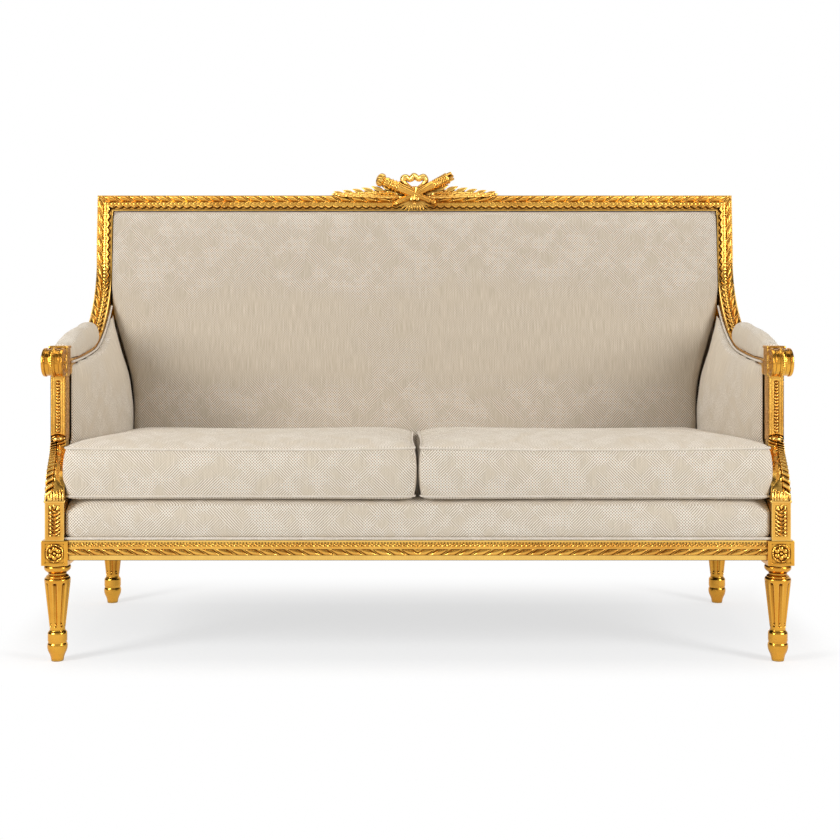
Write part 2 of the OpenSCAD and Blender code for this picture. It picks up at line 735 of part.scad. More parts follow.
// Widths that the soft pieces share: half-width of the back pad at a height,
// face of an inside arm at a depth and height, and room for a cushion beside it
top_in = top_out - frame_w;
flare_below = 123;
flare_above = 152;
arm_front_stuffing = 13.5;
arm_skin = 3;
cushion_room = 4;
pad_floor = deck_top + soft_gap;
pad_top = back_h - (frame_w + 2 * (welt_r + soft_gap)) * cos(back_rake);
pad_bend = arm_h + flare_above;
pad_low_half = frame_in - arm_stuffing;
pad_mid_half = frame_in - soft_gap;
pad_high_half = top_in - 2 * (welt_r + soft_gap);
cushion_back = post_front(deck_top) - back_swell_low - cushion_bulge - cushion_play;
function pad_half(z) = mix(pad_low_half, pad_mid_half,
    smooth((z - arm_h + flare_below) / (flare_below + flare_above)))
    + (pad_high_half - pad_mid_half) * clamp01((z - pad_bend) / (pad_top - pad_bend));
function arm_face(d, z) = min(frame_in - arm_skin, mix(frame_in - arm_front_stuffing,
    pad_half(z) + soft_gap * 2, clamp01((d - post_rear) / (cushion_back - post_rear))));
function deck_half(d) = min(leg_x - foot_w / 2, arm_face(d, deck_top)) - soft_gap * 2;
function seat_half(d) = min(leg_x - foot_w / 2 - cushion_room, arm_face(d, deck_top) - cushion_bulge)
    - soft_gap * 2;

// Square of unit side with round corners, each point followed by the way that its side draws in
corner_steps = 4;
side_steps = 8;
function soft_square(rx, ry) = concat(
    [for (a = [-90:90 / corner_steps:0]) [1 - rx + rx * cos(a), ry + ry * sin(a), 0, 0]],
    [for (i = [1:side_steps - 1]) let (t = i / side_steps) [1, mix(ry, 1 - ry, t), -sin(180 * t), 0]],
    [for (a = [0:90 / corner_steps:90]) [1 - rx + rx * cos(a), 1 - ry + ry * sin(a), 0, 0]],
    [for (i = [1:side_steps - 1]) let (t = i / side_steps) [mix(1 - rx, rx, t), 1, 0, -sin(180 * t)]],
    [for (a = [90:90 / corner_steps:180]) [rx + rx * cos(a), 1 - ry + ry * sin(a), 0, 0]],
    [for (i = [1:side_steps - 1]) let (t = i / side_steps) [0, mix(1 - ry, ry, t), sin(180 * t), 0]],
    [for (a = [180:90 / corner_steps:270]) [rx + rx * cos(a), ry + ry * sin(a), 0, 0]],
    [for (i = [1:side_steps - 1]) let (t = i / side_steps) [mix(rx, 1 - rx, t), 0, 0, sin(180 * t)]]
);

// Stuffed deck under the cushions
deck_round = 9;
deck_corner_shares = [0.004, 0.01];
deck_side_share = 1.7;
deck_front = deck_setback;
deck_back = post_foot_d - soft_gap;
function deck_ring(inset, z, side = 1) = [for (q = soft_square(deck_corner_shares[0], deck_corner_shares[1]))
    let (d = mix(deck_front + inset, deck_back - inset, q[1]), w = deck_half(d) - inset * side)
        [mix(-w, w, q[0]), d, z]];
module seat_deck_pad() {
    cloth() place() loft(concat(
        [deck_ring(welt_r, frame_top + soft_gap), deck_ring(welt_r, frame_top + 4 * welt_r + soft_gap),
            deck_ring(0, frame_top + 5 * welt_r)],
        [for (a = [0:30:90])
            deck_ring(deck_round * (1 - cos(a)), deck_top - deck_round * (1 - sin(a)), deck_side_share)]
    ));
}
deck_welt_lift = 6;
module deck_welt() {
    x1 = leg_x - foot_w / 2 - soft_gap;
    piping() place() translate([-x1, deck_front - joint_gap, frame_top + deck_welt_lift])
        rotate([0, 90, 0]) cylinder(r = welt_r, h = 2 * x1, $fn = 24);
}

// Loose box cushion: flat underneath, pinched at both welts, swelling border and crowned top
cushion_front = 10;
cushion_corner = 20;
cushion_lift = 10;
cushion_slope_share = 0.09;
under_reach = 60;
under_round = 14;
under_turn_share = 0.35;
crown_reach = 190;
crown_steps = 7;
seam_cut_share = 0.96;
seam_half_share = 1.15;
seam_out_share = 0.4;
cushion_floor = deck_top + soft_gap;
lower_seam = cushion_floor + cushion_lift;
upper_seam = lower_seam + cushion_border;
cushion_outline = soft_square(cushion_corner / seat_half(0), cushion_corner / (cushion_back - cushion_front));
function cushion_ring(inset, z, draw = 1) = [for (q = cushion_outline)
    let (d = mix(cushion_front + inset, cushion_back - inset, q[1]))
    let (x = mix(cushion_split / 2 + cushion_bulge + inset, seat_half(d) - inset, q[0]))
        [x + q[2] * draw_in * draw, d + q[3] * draw_in * draw,
            cushion_floor + (z - cushion_floor) * (1 - cushion_slope_share * q[1])]];
function seam_rings(z) = [
    cushion_ring(0, z - welt_r * seam_half_share), cushion_ring(welt_r * seam_cut_share, z),
    cushion_ring(0, z + welt_r * seam_half_share)
];
module cushion() {
    loft(concat(
        [cushion_ring(under_reach, cushion_floor), cushion_ring(under_round, cushion_floor),
            cushion_ring(under_round / 4, mix(cushion_floor, lower_seam, under_turn_share))],
        seam_rings(lower_seam),
        [for (t = [0.15, 0.32, 0.5, 0.68, 0.85])
            cushion_ring(-cushion_bulge * sin(180 * t), lower_seam + cushion_border * t)],
        seam_rings(upper_seam),
        [for (i = [1:crown_steps]) let (s = i / crown_steps)
            cushion_ring(crown_reach * pow(s, 1.4), upper_seam + welt_r * seam_half_share
                + (cushion_crown - welt_r) * (1 - pow(1 - s, 2.4)), 1 - s)]
    ));
}
module cushion_welts() {
    for (z = [lower_seam, upper_seam])
        cord(cushion_ring(-welt_r * seam_out_share, z), welt_r, [0, 0, 1], 6, true);
}
zip_w = 8;
zip_t = 1;
module cushion_zip() {
    first = 2 * (corner_steps + 1) + side_steps - 1;
    mid = cushion_ring(-cushion_bulge, (lower_seam + upper_seam) / 2);
    path = [for (i = [side_steps - 2:-1:0]) mid[first + i]];
    loft([for (p = path) [for (q = [[0.5, 1], [-0.5, 1], [-0.5, 0], [0.5, 0]])
        p + [0, joint_gap + q[1] * zip_t, q[0] * zip_w]]]);
}
module seat_cushion_left() { cloth() sided(-1) cushion(); }
module seat_cushion_right() { cloth() sided(1) cushion(); }
module cushion_welts_left() { piping() sided(-1) cushion_welts(); }
module cushion_welts_right() { piping() sided(1) cushion_welts(); }
module cushion_zip_left() { color([0.55, 0.5, 0.42]) sided(-1) cushion_zip(); }
module cushion_zip_right() { color([0.55, 0.5, 0.42]) sided(1) cushion_zip(); }

// Domed back pad between the inside arms, with a welt inside the frame's lip
pad_flank_steps = 14;
pad_edge_steps = 8;
pad_dome_shares = [
    [0, 0], [0, 0.45], [0.002, 0.7], [0.007, 0.86], [0.02, 0.95], [0.06, 1], [0.2, 1.03], [0.6, 1.05]
];
pad_outline = concat(
    [for (i = [0:pad_flank_steps]) let (z = mix(pad_floor, pad_top, i / pad_flank_steps)) [pad_half(z), z]],
    [for (i = [1:pad_edge_steps - 1]) [pad_high_half * (1 - 2 * i / pad_edge_steps), pad_top]],
    [for (i = [pad_flank_steps:-1:0]) let (z = mix(pad_floor, pad_top, i / pad_flank_steps))
        [-pad_half(z), z]],
    [for (i = [1:pad_edge_steps - 1]) [-pad_low_half * (1 - 2 * i / pad_edge_steps), pad_floor]]
);
function pad_ring(inset, dome, back = 0) = [for (q = pad_outline)
    let (mid = (pad_floor + pad_top) / 2, z = mid + (q[1] - mid) * (1 - inset))
    let (swell = mix(back_swell_low, back_swell_top, (z - pad_floor) / (pad_top - pad_floor)))
        [q[0] * (1 - inset), post_front(z) + back - dome * swell, z]];
module back_pad() {
    cloth() place() loft(concat(
        [pad_ring(0, 0, pad_back_t)],
        [for (s = pad_dome_shares) pad_ring(s[0], s[1])]
    ));
}
welt_turn_steps = 4;
welt_turn_share = 1.25;
module back_pad_welt() {
    r = welt_turn_share * welt_r;
    x1 = top_in - welt_r - soft_gap;
    h1 = frame_w + welt_r + soft_gap;
    half = concat(
        [[x1, stile_run]],
        [for (a = [0:90 / welt_turn_steps:90]) [x1 - r + r * cos(a), h1 + r - r * sin(a)]]
    );
    whole = concat(half, [for (i = [len(half) - 1:-1:0]) [-half[i][0], half[i][1]]]);
    piping() place() cord([for (q = whole) let (p = top_front - up_back * q[1] - out_back * welt_r)
        [q[0], p[0], p[1]]], welt_r, [0, out_back[0], out_back[1]], 6);
}
module outside_back_panel() {
    cloth() place() across(-frame_in + soft_gap, frame_in - soft_gap, [
        [post_foot_d + frame_t - panel_t, frame_top + soft_gap],
        [post_foot_d + frame_t, frame_top + soft_gap],
        top_front - up_back * (frame_w + soft_gap) - out_back * frame_t,
        top_front - up_back * (frame_w + soft_gap) - out_back * (frame_t - panel_t)
    ]);
}

// Stuffed inside arm, its welt under the arm rail, and the flat outside arm
arm_peak_share = 0.58;
arm_reveal = 10;
arm_edge_steps = 6;
function arm_outline(off, peak) = concat(
    [for (i = [0:arm_edge_steps]) [mix(foot_w + soft_gap, post_foot_d - soft_gap, i / arm_edge_steps),
        frame_top + soft_gap]],
    [for (i = [1:arm_edge_steps - 1]) let (p = beside(sweep_curve, peak, -off))
        mix([post_foot_d - soft_gap, frame_top + soft_gap], p, i / arm_edge_steps)],
    [for (i = [8:-1:0]) beside(sweep_curve, peak * i / 8, -off)],
    [for (i = [3:-1:1]) beside(arm_curve, i / 4, -off)],
    [[post_rear + soft_gap, arm_h - off], [post_rear + soft_gap, post_bottom]],
    [for (i = [scroll_steps - 1:-1:0]) let (t = i / scroll_steps)
        beside(scroll_curve, t, -scroll_half(t) - soft_gap)]
);
arm_pad_shares = [[0.85, 0], [0.6, 0], [0.35, 0], [0.16, 0.12], [0.05, 0.5], [0, 1]];
arm_roll = 13;
arm_middle_share = 0.77;
function arm_face_ring(inset, roll) = let (mid_d = mix(post_rear, sweep_start, arm_middle_share))
    let (mid_z = (deck_top + arm_h) / 2)
    [for (q = arm_outline(arm_reveal, arm_peak_share))
        let (d = mid_d + (q[0] - mid_d) * (1 - inset), z = mid_z + (q[1] - mid_z) * (1 - inset))
            [min(arm_face(d, z) + roll * arm_roll, frame_in - 2 * soft_gap), d, z]];
module inside_arm() {
    loft(concat(
        [for (s = arm_pad_shares) arm_face_ring(s[0], s[1])],
        [[for (q = arm_outline(arm_reveal, arm_peak_share)) [frame_in - soft_gap, q[0], q[1]]]]
    ));
}
module inside_arm_welt() {
    off = arm_reveal - welt_r - soft_gap;
    path = concat(
        [for (i = [0:4]) beside(arm_curve, i / 4, -off)],
        [for (i = [1:8]) beside(sweep_curve, arm_peak_share * i / 8, -off)]
    );
    cord([for (p = path) [frame_in - welt_r - soft_gap / 2, p[0] + soft_gap, p[1]]], welt_r, [-1, 0, 0], 6);
}
module inside_arm_left() { cloth() sided(-1) inside_arm(); }
module inside_arm_right() { cloth() sided(1) inside_arm(); }
module inside_arm_welt_left() { piping() sided(-1) inside_arm_welt(); }
module inside_arm_welt_right() { piping() sided(1) inside_arm_welt(); }

outside_arm_foot = side_in + edge_chamfer + tack_rail_w + soft_gap;
outside_arm_head = post_x + frame_w / 2 - panel_t - edge_chamfer;
module outside_arm() {
    lean = atan2(outside_arm_head - outside_arm_foot, post_top - frame_top);
    translate([outside_arm_foot, 0, frame_top]) rotate([0, lean, 0]) translate([0, 0, -frame_top])
        across(0, panel_t, arm_outline(frame_t + soft_gap, meets_post(frame_t + soft_gap, -soft_gap)));
}
module outside_arm_left() { cloth() sided(-1) outside_arm(); }
module outside_arm_right() { cloth() sided(1) outside_arm(); }

// Padded armrest on the arm rail, flat in front and rounded where the rail sweeps up
pad_front_share = 0.56;
pad_nose_share = 0.66;
pad_grow_rates = [2.2, 3];
pad_round_share = 0.22;
pad_sides = 12;
module arm_pad() {
    first = arm_curve[0][0];
    last = curve_at(sweep_curve, pad_end_share)[0];
    loft([for (k = [0:len(arm_stations) - 1])
        let (c = arm_stations[k][0] == 0 ? arm_curve : sweep_curve, t = arm_stations[k][1])
        let (p = curve_at(c, t), n = square_to(curve_dir(c, t)), g = (p[0] - first) / (last - first))
        let (e = max(0, (g - 1 + pad_round_share) / pad_round_share), round = sqrt(max(0.01, 1 - e * e)))
        let (h = pad_t * mix(pad_front_share, 1, smooth(g * pad_grow_rates[0])) * round)
        let (w = pad_w * mix(pad_nose_share, 1, smooth(g * pad_grow_rates[1])) * pow(round, 0.5))
        [for (i = [0:pad_sides]) let (a = 180 * i / pad_sides)
            let (u = sign(cos(a)) * pow(abs(cos(a)), 0.6) * w / 2, v = soft_gap + h * pow(sin(a), 0.75))
                [post_x - u, p[0] + (k == 0 ? soft_gap : n[0] * v), p[1] + n[1] * v]]
    ]);
}
module arm_pad_left() { cloth() sided(-1) arm_pad(); }
module arm_pad_right() { cloth() sided(1) arm_pad(); }

// Crest carving: local frame with the top rail's front edge as X and its face as the XZ plane
module on_crest() {
    place() translate([0, top_front[0], top_front[1]]) rotate([-back_rake, 0, 0]) children();
}
quiver_tilt = 26;
torch_tilt = 23;
cross_rise = 2;
cross_front = quiver_r * 0.7;
cross_share = 0.36;

// Quiver, torch and leaf: radius shares and places along the length as shares, from the lower tip
quiver_shares = [
    [0, 0], [0.2, 0], [0.36, 0.02], [0.36, 0.05], [0.44, 0.06], [0.44, 0.09], [0.4, 0.1], [0.58, 0.36],
    [0.85, 0.64], [1, 0.66], [1, 0.69], [0.9, 0.7], [0.96, 0.76], [1.06, 0.78], [1.06, 0.81], [0.95, 0.82],
    [0, 0.82]
];
torch_shares = [
    [0, 0], [0.24, 0], [0.4, 0.02], [0.4, 0.06], [0.48, 0.07], [0.48, 0.1], [0.42, 0.11], [0.6, 0.36],
    [0.84, 0.62], [0.98, 0.64], [0.98, 0.68], [0.86, 0.69], [0.88, 0.74], [1, 0.76], [1, 0.79],
    [0.76, 0.81], [0.96, 0.85], [1.04, 0.91], [0.9, 0.97], [0.5, 1], [0, 1]
];
leaf_shares = [[0, 0.3], [0.3, 0.9], [0.55, 1], [0.82, 0.55], [1, 0.08]];
arrow_n = 6;
arrow_r_share = 0.22;
arrow_ring_share = 0.42;
arrow_start_share = 0.79;
arrow_end_shares = [0.95, 1];
bow_wire = 6;
bow_hole_share = 0.9;
bow_band_share = 0.6;
bow_spread_share = 1.2;
bow_lobe_w = 21;
bow_lobe_rise = 37;
bow_mid_rise = 42;
knot_w = 15;
knot_rise = 14;
tie_n = 5;
tie_r = 2.4;
tie_h = 26;
tie_step_share = 0.9;
tie_front_share = 0.6;
mound_w = 120;
mound_h = 13;
mound_t = 16;
mound_steps = 10;
mound_end_share = 0.15;
branch_t = 18;
branch_base_share = 0.42;
leaf_n = 8;
leaf_l = 34;
leaf_w = 15;
leaf_t = 7;
leaf_small_share = 0.5;
leaf_thin_share = 0.7;
leaf_flat_share = 0.4;
leaf_set_shares = [0.35, 0.12];
branch_low_share = 0.2;
branch_thin_share = 0.5;
leaf_fans = [34, 20, 4];
leaf_row_shares = [0.42, 0.62, 0.45];

// Turned piece along Z through the crossing, from a table of shares
module turned(shares, r, l) {
    rotate_extrude($fn = 32) polygon([for (q = shares) [q[0] * r, (q[1] - cross_share) * l]]);
}
module quiver() {
    turned(quiver_shares, quiver_r, quiver_l);
    r = quiver_r * arrow_r_share;
    for (i = [0:arrow_n]) let (a = 360 * i / arrow_n, out = i == arrow_n ? 0 : quiver_r * arrow_ring_share)
        let (z0 = quiver_l * (arrow_start_share - cross_share))
        let (z1 = quiver_l * (arrow_end_shares[i % 2] - cross_share))
            translate([out * cos(a), out * sin(a), z0]) cylinder(r1 = r / 2, r2 = r, h = z1 - z0, $fn = 16);
}

// Puffed lobe of the bow and the band that leads to it from the knot
module bow_lobe(x, z) {
    translate([x, 0, z]) rotate([90, 0, 0]) rotate_extrude($fn = 32) difference() {
        translate([bow_wire * bow_hole_share, 0]) circle(r = bow_wire, $fn = 24);
        translate([-2 * bow_wire, -bow_wire]) square(2 * bow_wire);
    }
}
module bow_band(x, z) {
    run = norm([x, z - knot_rise]);
    translate([0, 0, knot_rise]) rotate([0, atan2(x, z - knot_rise), 0])
        cylinder(r1 = bow_wire * bow_band_share, r2 = bow_wire * bow_hole_share, h = run, $fn = 24);
}

// Quiver over torch with the bow, its knot and the hanging ties
module trophy() {
    translate([0, -cross_front, cross_rise]) {
        rotate([0, 90 - quiver_tilt, 0]) quiver();
        rotate([0, torch_tilt - 90, 0]) turned(torch_shares, quiver_r, torch_l);
        bow_lobe(-bow_lobe_w, bow_lobe_rise);
        bow_lobe(0, bow_mid_rise);
        bow_lobe(bow_lobe_w, bow_lobe_rise);
        bow_band(-bow_lobe_w * bow_spread_share, bow_lobe_rise);
        bow_band(bow_lobe_w * bow_spread_share, bow_lobe_rise);
        translate([-knot_w / 2, 0, knot_rise]) rotate([0, 90, 0])
            cylinder(r = bow_wire, h = knot_w, $fn = 32);
        for (i = [0:tie_n - 1])
            translate([(i - (tie_n - 1) / 2) * 2 * tie_r * tie_step_share,
                    -quiver_r * tie_front_share, knot_rise - tie_h])
                cylinder(r = tie_r, h = tie_h, $fn = 16);
    }
}

// Section of a low mound on the rail, a half round
function mound_ring(x, h, t) = [for (a = [0:180 / 6:180])
    [x, t / 2 * (1 + cos(a)) - relief, joint_gap + h * sin(a)]];

// The trophy is notched over the front edge of the top rail
module crest_trophy() {
    gilt() on_crest() difference() {
        union() {
            trophy();
            loft([for (i = [0:mound_steps]) let (t = i / mound_steps)
                mound_ring(mound_w * (t - 0.5), mound_h * mix(mound_end_share, 1, sin(180 * t)), mound_t)]);
        }
        translate([-crest_w / 2, -relief - joint_gap, joint_gap - frame_w])
            cube([crest_w, frame_t, frame_w]);
    }
}

// Laurel branch that tapers outwards: three rows of pointed leaves on a low base
module leaf(l, w, t) {
    loft([for (s = leaf_shares)
        [for (a = [0:60:359]) [s[0] * l, cos(a) * t / 2 * s[1], sin(a) * w / 2 * s[1]]]]);
}
module crest_branch() {
    x1 = crest_w / 2;
    last = x1 - leaf_l * leaf_small_share;
    base = laurel_h * branch_base_share;
    loft([for (i = [0:mound_steps]) let (t = i / mound_steps)
        mound_ring(mix(mound_w / 2 + joint_gap, last + leaf_l * leaf_small_share / 2, t),
            base * mix(1, branch_low_share, t), branch_t * mix(1, branch_thin_share, t))]);
    for (row = [0:2], i = [0:leaf_n - 1])
        let (t = (i + row / 3) / leaf_n, k = mix(1, leaf_small_share, t))
        let (h = (laurel_h - leaf_l * sin(leaf_fans[row]) * leaf_row_shares[row]) * leaf_row_shares[row])
            translate([mix(mound_w / 2 + leaf_t, last, t),
                    -relief + branch_t * mix(leaf_set_shares[0], leaf_set_shares[1], t),
                    joint_gap + leaf_w * k / 2 + max(0, (h - leaf_w / 2) * (1 - t))])
                rotate([0, -leaf_fans[row] * mix(1, leaf_flat_share, t), 0])
                    leaf(leaf_l * k, leaf_w * k, leaf_t * mix(1, leaf_thin_share, t));
}
module crest_branch_left() { gilt() on_crest() mirror([1, 0, 0]) crest_branch(); }
module crest_branch_right() { gilt() on_crest() crest_branch(); }

front_leg_left();
front_leg_right();
rear_leg_left();
rear_leg_right();
front_rail();
rear_rail();
side_rail_left();
side_rail_right();
seat_brace();
corner_blocks();
corner_bolts();
frame_dowels();
arm_support_left();
arm_support_right();
arm_rail_left();
arm_rail_right();
arm_tack_rail_left();
arm_tack_rail_right();
back_post_left();
back_post_right();
back_stile_left();
back_stile_right();
back_top_rail();
back_lower_rail();
crest_trophy();
crest_branch_left();
crest_branch_right();
seat_straps_long();
seat_straps_cross();
back_straps();
dust_cover();
seat_deck_pad();
deck_welt();
back_pad();
back_pad_welt();
outside_back_panel();
inside_arm_left();
inside_arm_right();
inside_arm_welt_left();
inside_arm_welt_right();
outside_arm_left();
outside_arm_right();
arm_pad_left();
arm_pad_right();
seat_cushion_left();
seat_cushion_right();
cushion_welts_left();
cushion_welts_right();
cushion_zip_left();
cushion_zip_right();
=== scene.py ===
# Two-seat gilded settee, dressed on its construction model. Lengths are in metres.
# The origin is on the floor at the middle, the front faces -Y and +Z is up.
import math
import bpy
import json
import numpy as np
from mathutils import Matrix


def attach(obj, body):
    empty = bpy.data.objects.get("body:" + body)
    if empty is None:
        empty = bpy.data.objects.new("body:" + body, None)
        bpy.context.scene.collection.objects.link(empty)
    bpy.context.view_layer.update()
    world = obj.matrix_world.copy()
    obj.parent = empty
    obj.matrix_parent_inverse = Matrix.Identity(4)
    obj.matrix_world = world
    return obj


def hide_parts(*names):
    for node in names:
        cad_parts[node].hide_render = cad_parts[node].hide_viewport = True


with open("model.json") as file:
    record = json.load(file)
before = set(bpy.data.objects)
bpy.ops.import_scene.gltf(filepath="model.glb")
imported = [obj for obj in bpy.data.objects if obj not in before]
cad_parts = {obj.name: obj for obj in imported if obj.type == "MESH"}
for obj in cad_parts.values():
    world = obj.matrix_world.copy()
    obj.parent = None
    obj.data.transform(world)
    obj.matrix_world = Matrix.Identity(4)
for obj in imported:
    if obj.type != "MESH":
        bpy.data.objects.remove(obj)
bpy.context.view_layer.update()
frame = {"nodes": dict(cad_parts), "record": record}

# ---- Camera ----
# Level view from 3 m in front of the sofa, a little left of its middle, at the height of
# the seated eye. The frame is shifted down so that the sofa fills the square picture.
def put(name, data):
    """New object in the scene that carries the given data."""
    thing = bpy.data.objects.new(name, data)
    bpy.context.scene.collection.objects.link(thing)
    return thing


camera = put("camera", bpy.data.cameras.new("camera"))
bpy.context.scene.camera = camera
camera.location = (-0.0379, -3.343, 0.775)
camera.rotation_euler = (math.radians(90), 0, 0)
camera.data.sensor_width = 36
camera.data.lens = 60.43
camera.data.shift_x = 0.0238
camera.data.shift_y = -0.1436
bpy.context.scene.view_settings.view_transform = "Standard"


# ---- Studio ----
# A white floor that runs into a white background, a tall soft box on each side of the
# camera, a wide one overhead and a weak fill from all round, darker in front.
def add_node(tree, kind, settings=None, inputs=None):
    """Adds a node, sets its properties, and links or sets its inputs by name or number."""
    node = tree.nodes.new(kind)
    for key, value in (settings or {}).items():
        setattr(node, key, value)
    for key, value in (inputs or {}).items():
        if isinstance(value, bpy.types.NodeSocket):
            tree.links.new(value, node.inputs[key])
        else:
            node.inputs[key].default_value = value
    return node


def math_node(tree, operation, a, b=0.0, clamp=False):
    """Result of one arithmetic step on two values."""
    settings = {"operation": operation, "use_clamp": clamp}
    return add_node(tree, "ShaderNodeMath", settings, {0: a, 1: b}).outputs[0]


def blend_colours(tree, share, first, second, how="MIX"):
    """Second colour laid over the first by a share from 0 to 1."""
    settings = {"data_type": "RGBA", "blend_type": how}
    return add_node(tree, "ShaderNodeMix", settings, {0: share, 6: first, 7: second}).outputs[2]


def ramp_value(tree, value, low, high, out_low=0.0, out_high=1.0):
    """Value carried smoothly from one range to another and held there."""
    settings = {"interpolation_type": "SMOOTHSTEP"}
    node = add_node(tree, "ShaderNodeMapRange", settings,
                    {0: value, 1: low, 2: high, 3: out_low, 4: out_high})
    return node.outputs[0]


def either(tree, share, first, second):
    """Second value in place of the first by a share from 0 to 1."""
    return add_node(tree, "ShaderNodeMix", {"data_type": "FLOAT"}, {0: share, 2: first, 3: second}).outputs[0]


def srgb(red, green, blue):
    """Colour from its values on a screen, 0 to 255, as linear light."""
    c = np.array([red, green, blue]) / 255
    linear = np.where(c <= 0.04045, c / 12.92, ((c + 0.055) / 1.055) ** 2.4)
    return (float(linear[0]), float(linear[1]), float(linear[2]), 1.0)


world = bpy.data.worlds.new("studio")
bpy.context.scene.world = world
world.use_nodes = True
tree = world.node_tree
tree.nodes.clear()
rays = add_node(tree, "ShaderNodeLightPath")
seen = rays.outputs["Is Camera Ray"]
place = add_node(tree, "ShaderNodeTexCoord").outputs["Generated"]
toward = add_node(tree, "ShaderNodeSeparateXYZ", None, {0: place}).outputs
room = ramp_value(tree, toward[1], -0.9, 0.5, 0.24, 0.46)
ceiling = math_node(tree, "MULTIPLY", ramp_value(tree, toward[2], 0.6, 0.78),
                    ramp_value(tree, toward[2], 0.985, 0.92))
walls = ramp_value(tree, math_node(tree, "ABSOLUTE", toward[0]), 0.6, 0.86)
unlit = math_node(tree, "MULTIPLY", math_node(tree, "MAXIMUM", ceiling, walls), -0.95)
reflected = math_node(tree, "MULTIPLY", ramp_value(tree, toward[1], -0.3, 0.4, 0.6, 0.95),
                      math_node(tree, "ADD", unlit, 1.0))
level = either(tree, seen, either(tree, rays.outputs["Is Glossy Ray"], room, reflected), 1.0)
sky = add_node(tree, "ShaderNodeBackground", None, {0: (1, 1, 1, 1), 1: level})
add_node(tree, "ShaderNodeOutputWorld", None, {0: sky.outputs[0]})

floor_mesh = bpy.data.meshes.new("studio_floor")
reach = 40.0
floor_mesh.from_pydata([(-reach, -reach, 0), (reach, -reach, 0), (reach, reach, 0), (-reach, reach, 0)],
                       [], [(0, 1, 2, 3)])
floor = put("studio_floor", floor_mesh)
floor.location = (0, 0, -0.0005)
paper = bpy.data.materials.new("studio paper")
paper.use_nodes = True
tree = paper.node_tree
tree.nodes.clear()
rays = add_node(tree, "ShaderNodeLightPath")
place = add_node(tree, "ShaderNodeTexCoord").outputs["Object"]
spot = add_node(tree, "ShaderNodeSeparateXYZ", None, {0: place}).outputs
beside = ramp_value(tree, math_node(tree, "ABSOLUTE", spot[0]), 0.86, 0.97)
behind = ramp_value(tree, spot[1], 0.28, 0.62)
before = ramp_value(tree, spot[1], -0.36, -0.51)
away = math_node(tree, "MAXIMUM", beside, math_node(tree, "MAXIMUM", behind, before))
mirrored_ray = math_node(tree, "MAXIMUM", rays.outputs["Is Glossy Ray"], rays.outputs["Is Transmission Ray"])
seen = math_node(tree, "MAXIMUM", rays.outputs["Is Camera Ray"], math_node(tree, "MULTIPLY", mirrored_ray, 0.6))
far = math_node(tree, "MULTIPLY", seen, away)
grey = ramp_value(tree, rays.outputs["Is Camera Ray"], 0, 1, ramp_value(tree, mirrored_ray, 0, 1, 0.76, 0.56), 0.34)
lit = add_node(tree, "ShaderNodeBsdfDiffuse", None, {0: grey})
glow = add_node(tree, "ShaderNodeEmission", None, {0: (1, 1, 1, 1), 1: math_node(tree, "MULTIPLY", seen, 0.66)})
patch = add_node(tree, "ShaderNodeAddShader", None, {0: lit.outputs[0], 1: glow.outputs[0]})
white = add_node(tree, "ShaderNodeEmission", None, {0: (1, 1, 1, 1), 1: 1.0})
both = add_node(tree, "ShaderNodeMixShader", None, {0: far, 1: patch.outputs[0], 2: white.outputs[0]})
add_node(tree, "ShaderNodeOutputMaterial", None, {0: both.outputs[0]})
floor_mesh.materials.append(paper)

for name, size, watts, at, tilt in (("soft_box", (0.8, 1.5), 66, (-2.55, -1.9, 1.5), 76),
                                    ("soft_box", (0.8, 1.5), 57, (2.55, -1.9, 1.5), 76),
                                    ("top_box", (2.6, 1.6), 26, (0, 0.1, 2.9), 0)):
    box = bpy.data.lights.new(name, "AREA")
    box.shape = "RECTANGLE"
    box.size, box.size_y = size
    box.energy = watts
    lamp = put(name, box)
    lamp.location = at
    lamp.rotation_euler = (math.radians(tilt), 0, math.atan2(at[0], 1.9))


# ---- Turned legs ----
# Four beech legs turned with a fluted tapered shaft under a square block, covered with
# gesso and burnished gold leaf. Each block has a sunk square with a carved rosette.
def shader_group(name, takes, gives):
    """Empty shader group with its inputs and outputs, each given as a name and a kind."""
    group = bpy.data.node_groups.new(name, "ShaderNodeTree")
    for sockets, in_out in ((takes, "INPUT"), (gives, "OUTPUT")):
        for socket, kind in sockets.items():
            group.interface.new_socket(socket, in_out=in_out, socket_type="NodeSocket" + kind)
    return group, add_node(group, "NodeGroupInput").outputs


def noise(tree, place, scale, detail, flat=False, **more):
    """Value of a noise at a place, or only in its first two directions where it is flat."""
    return add_node(tree, "ShaderNodeTexNoise", {"noise_dimensions": "2D" if flat else "3D"},
                    {"Vector": place, "Scale": scale, "Detail": detail, **more}).outputs["Fac"]


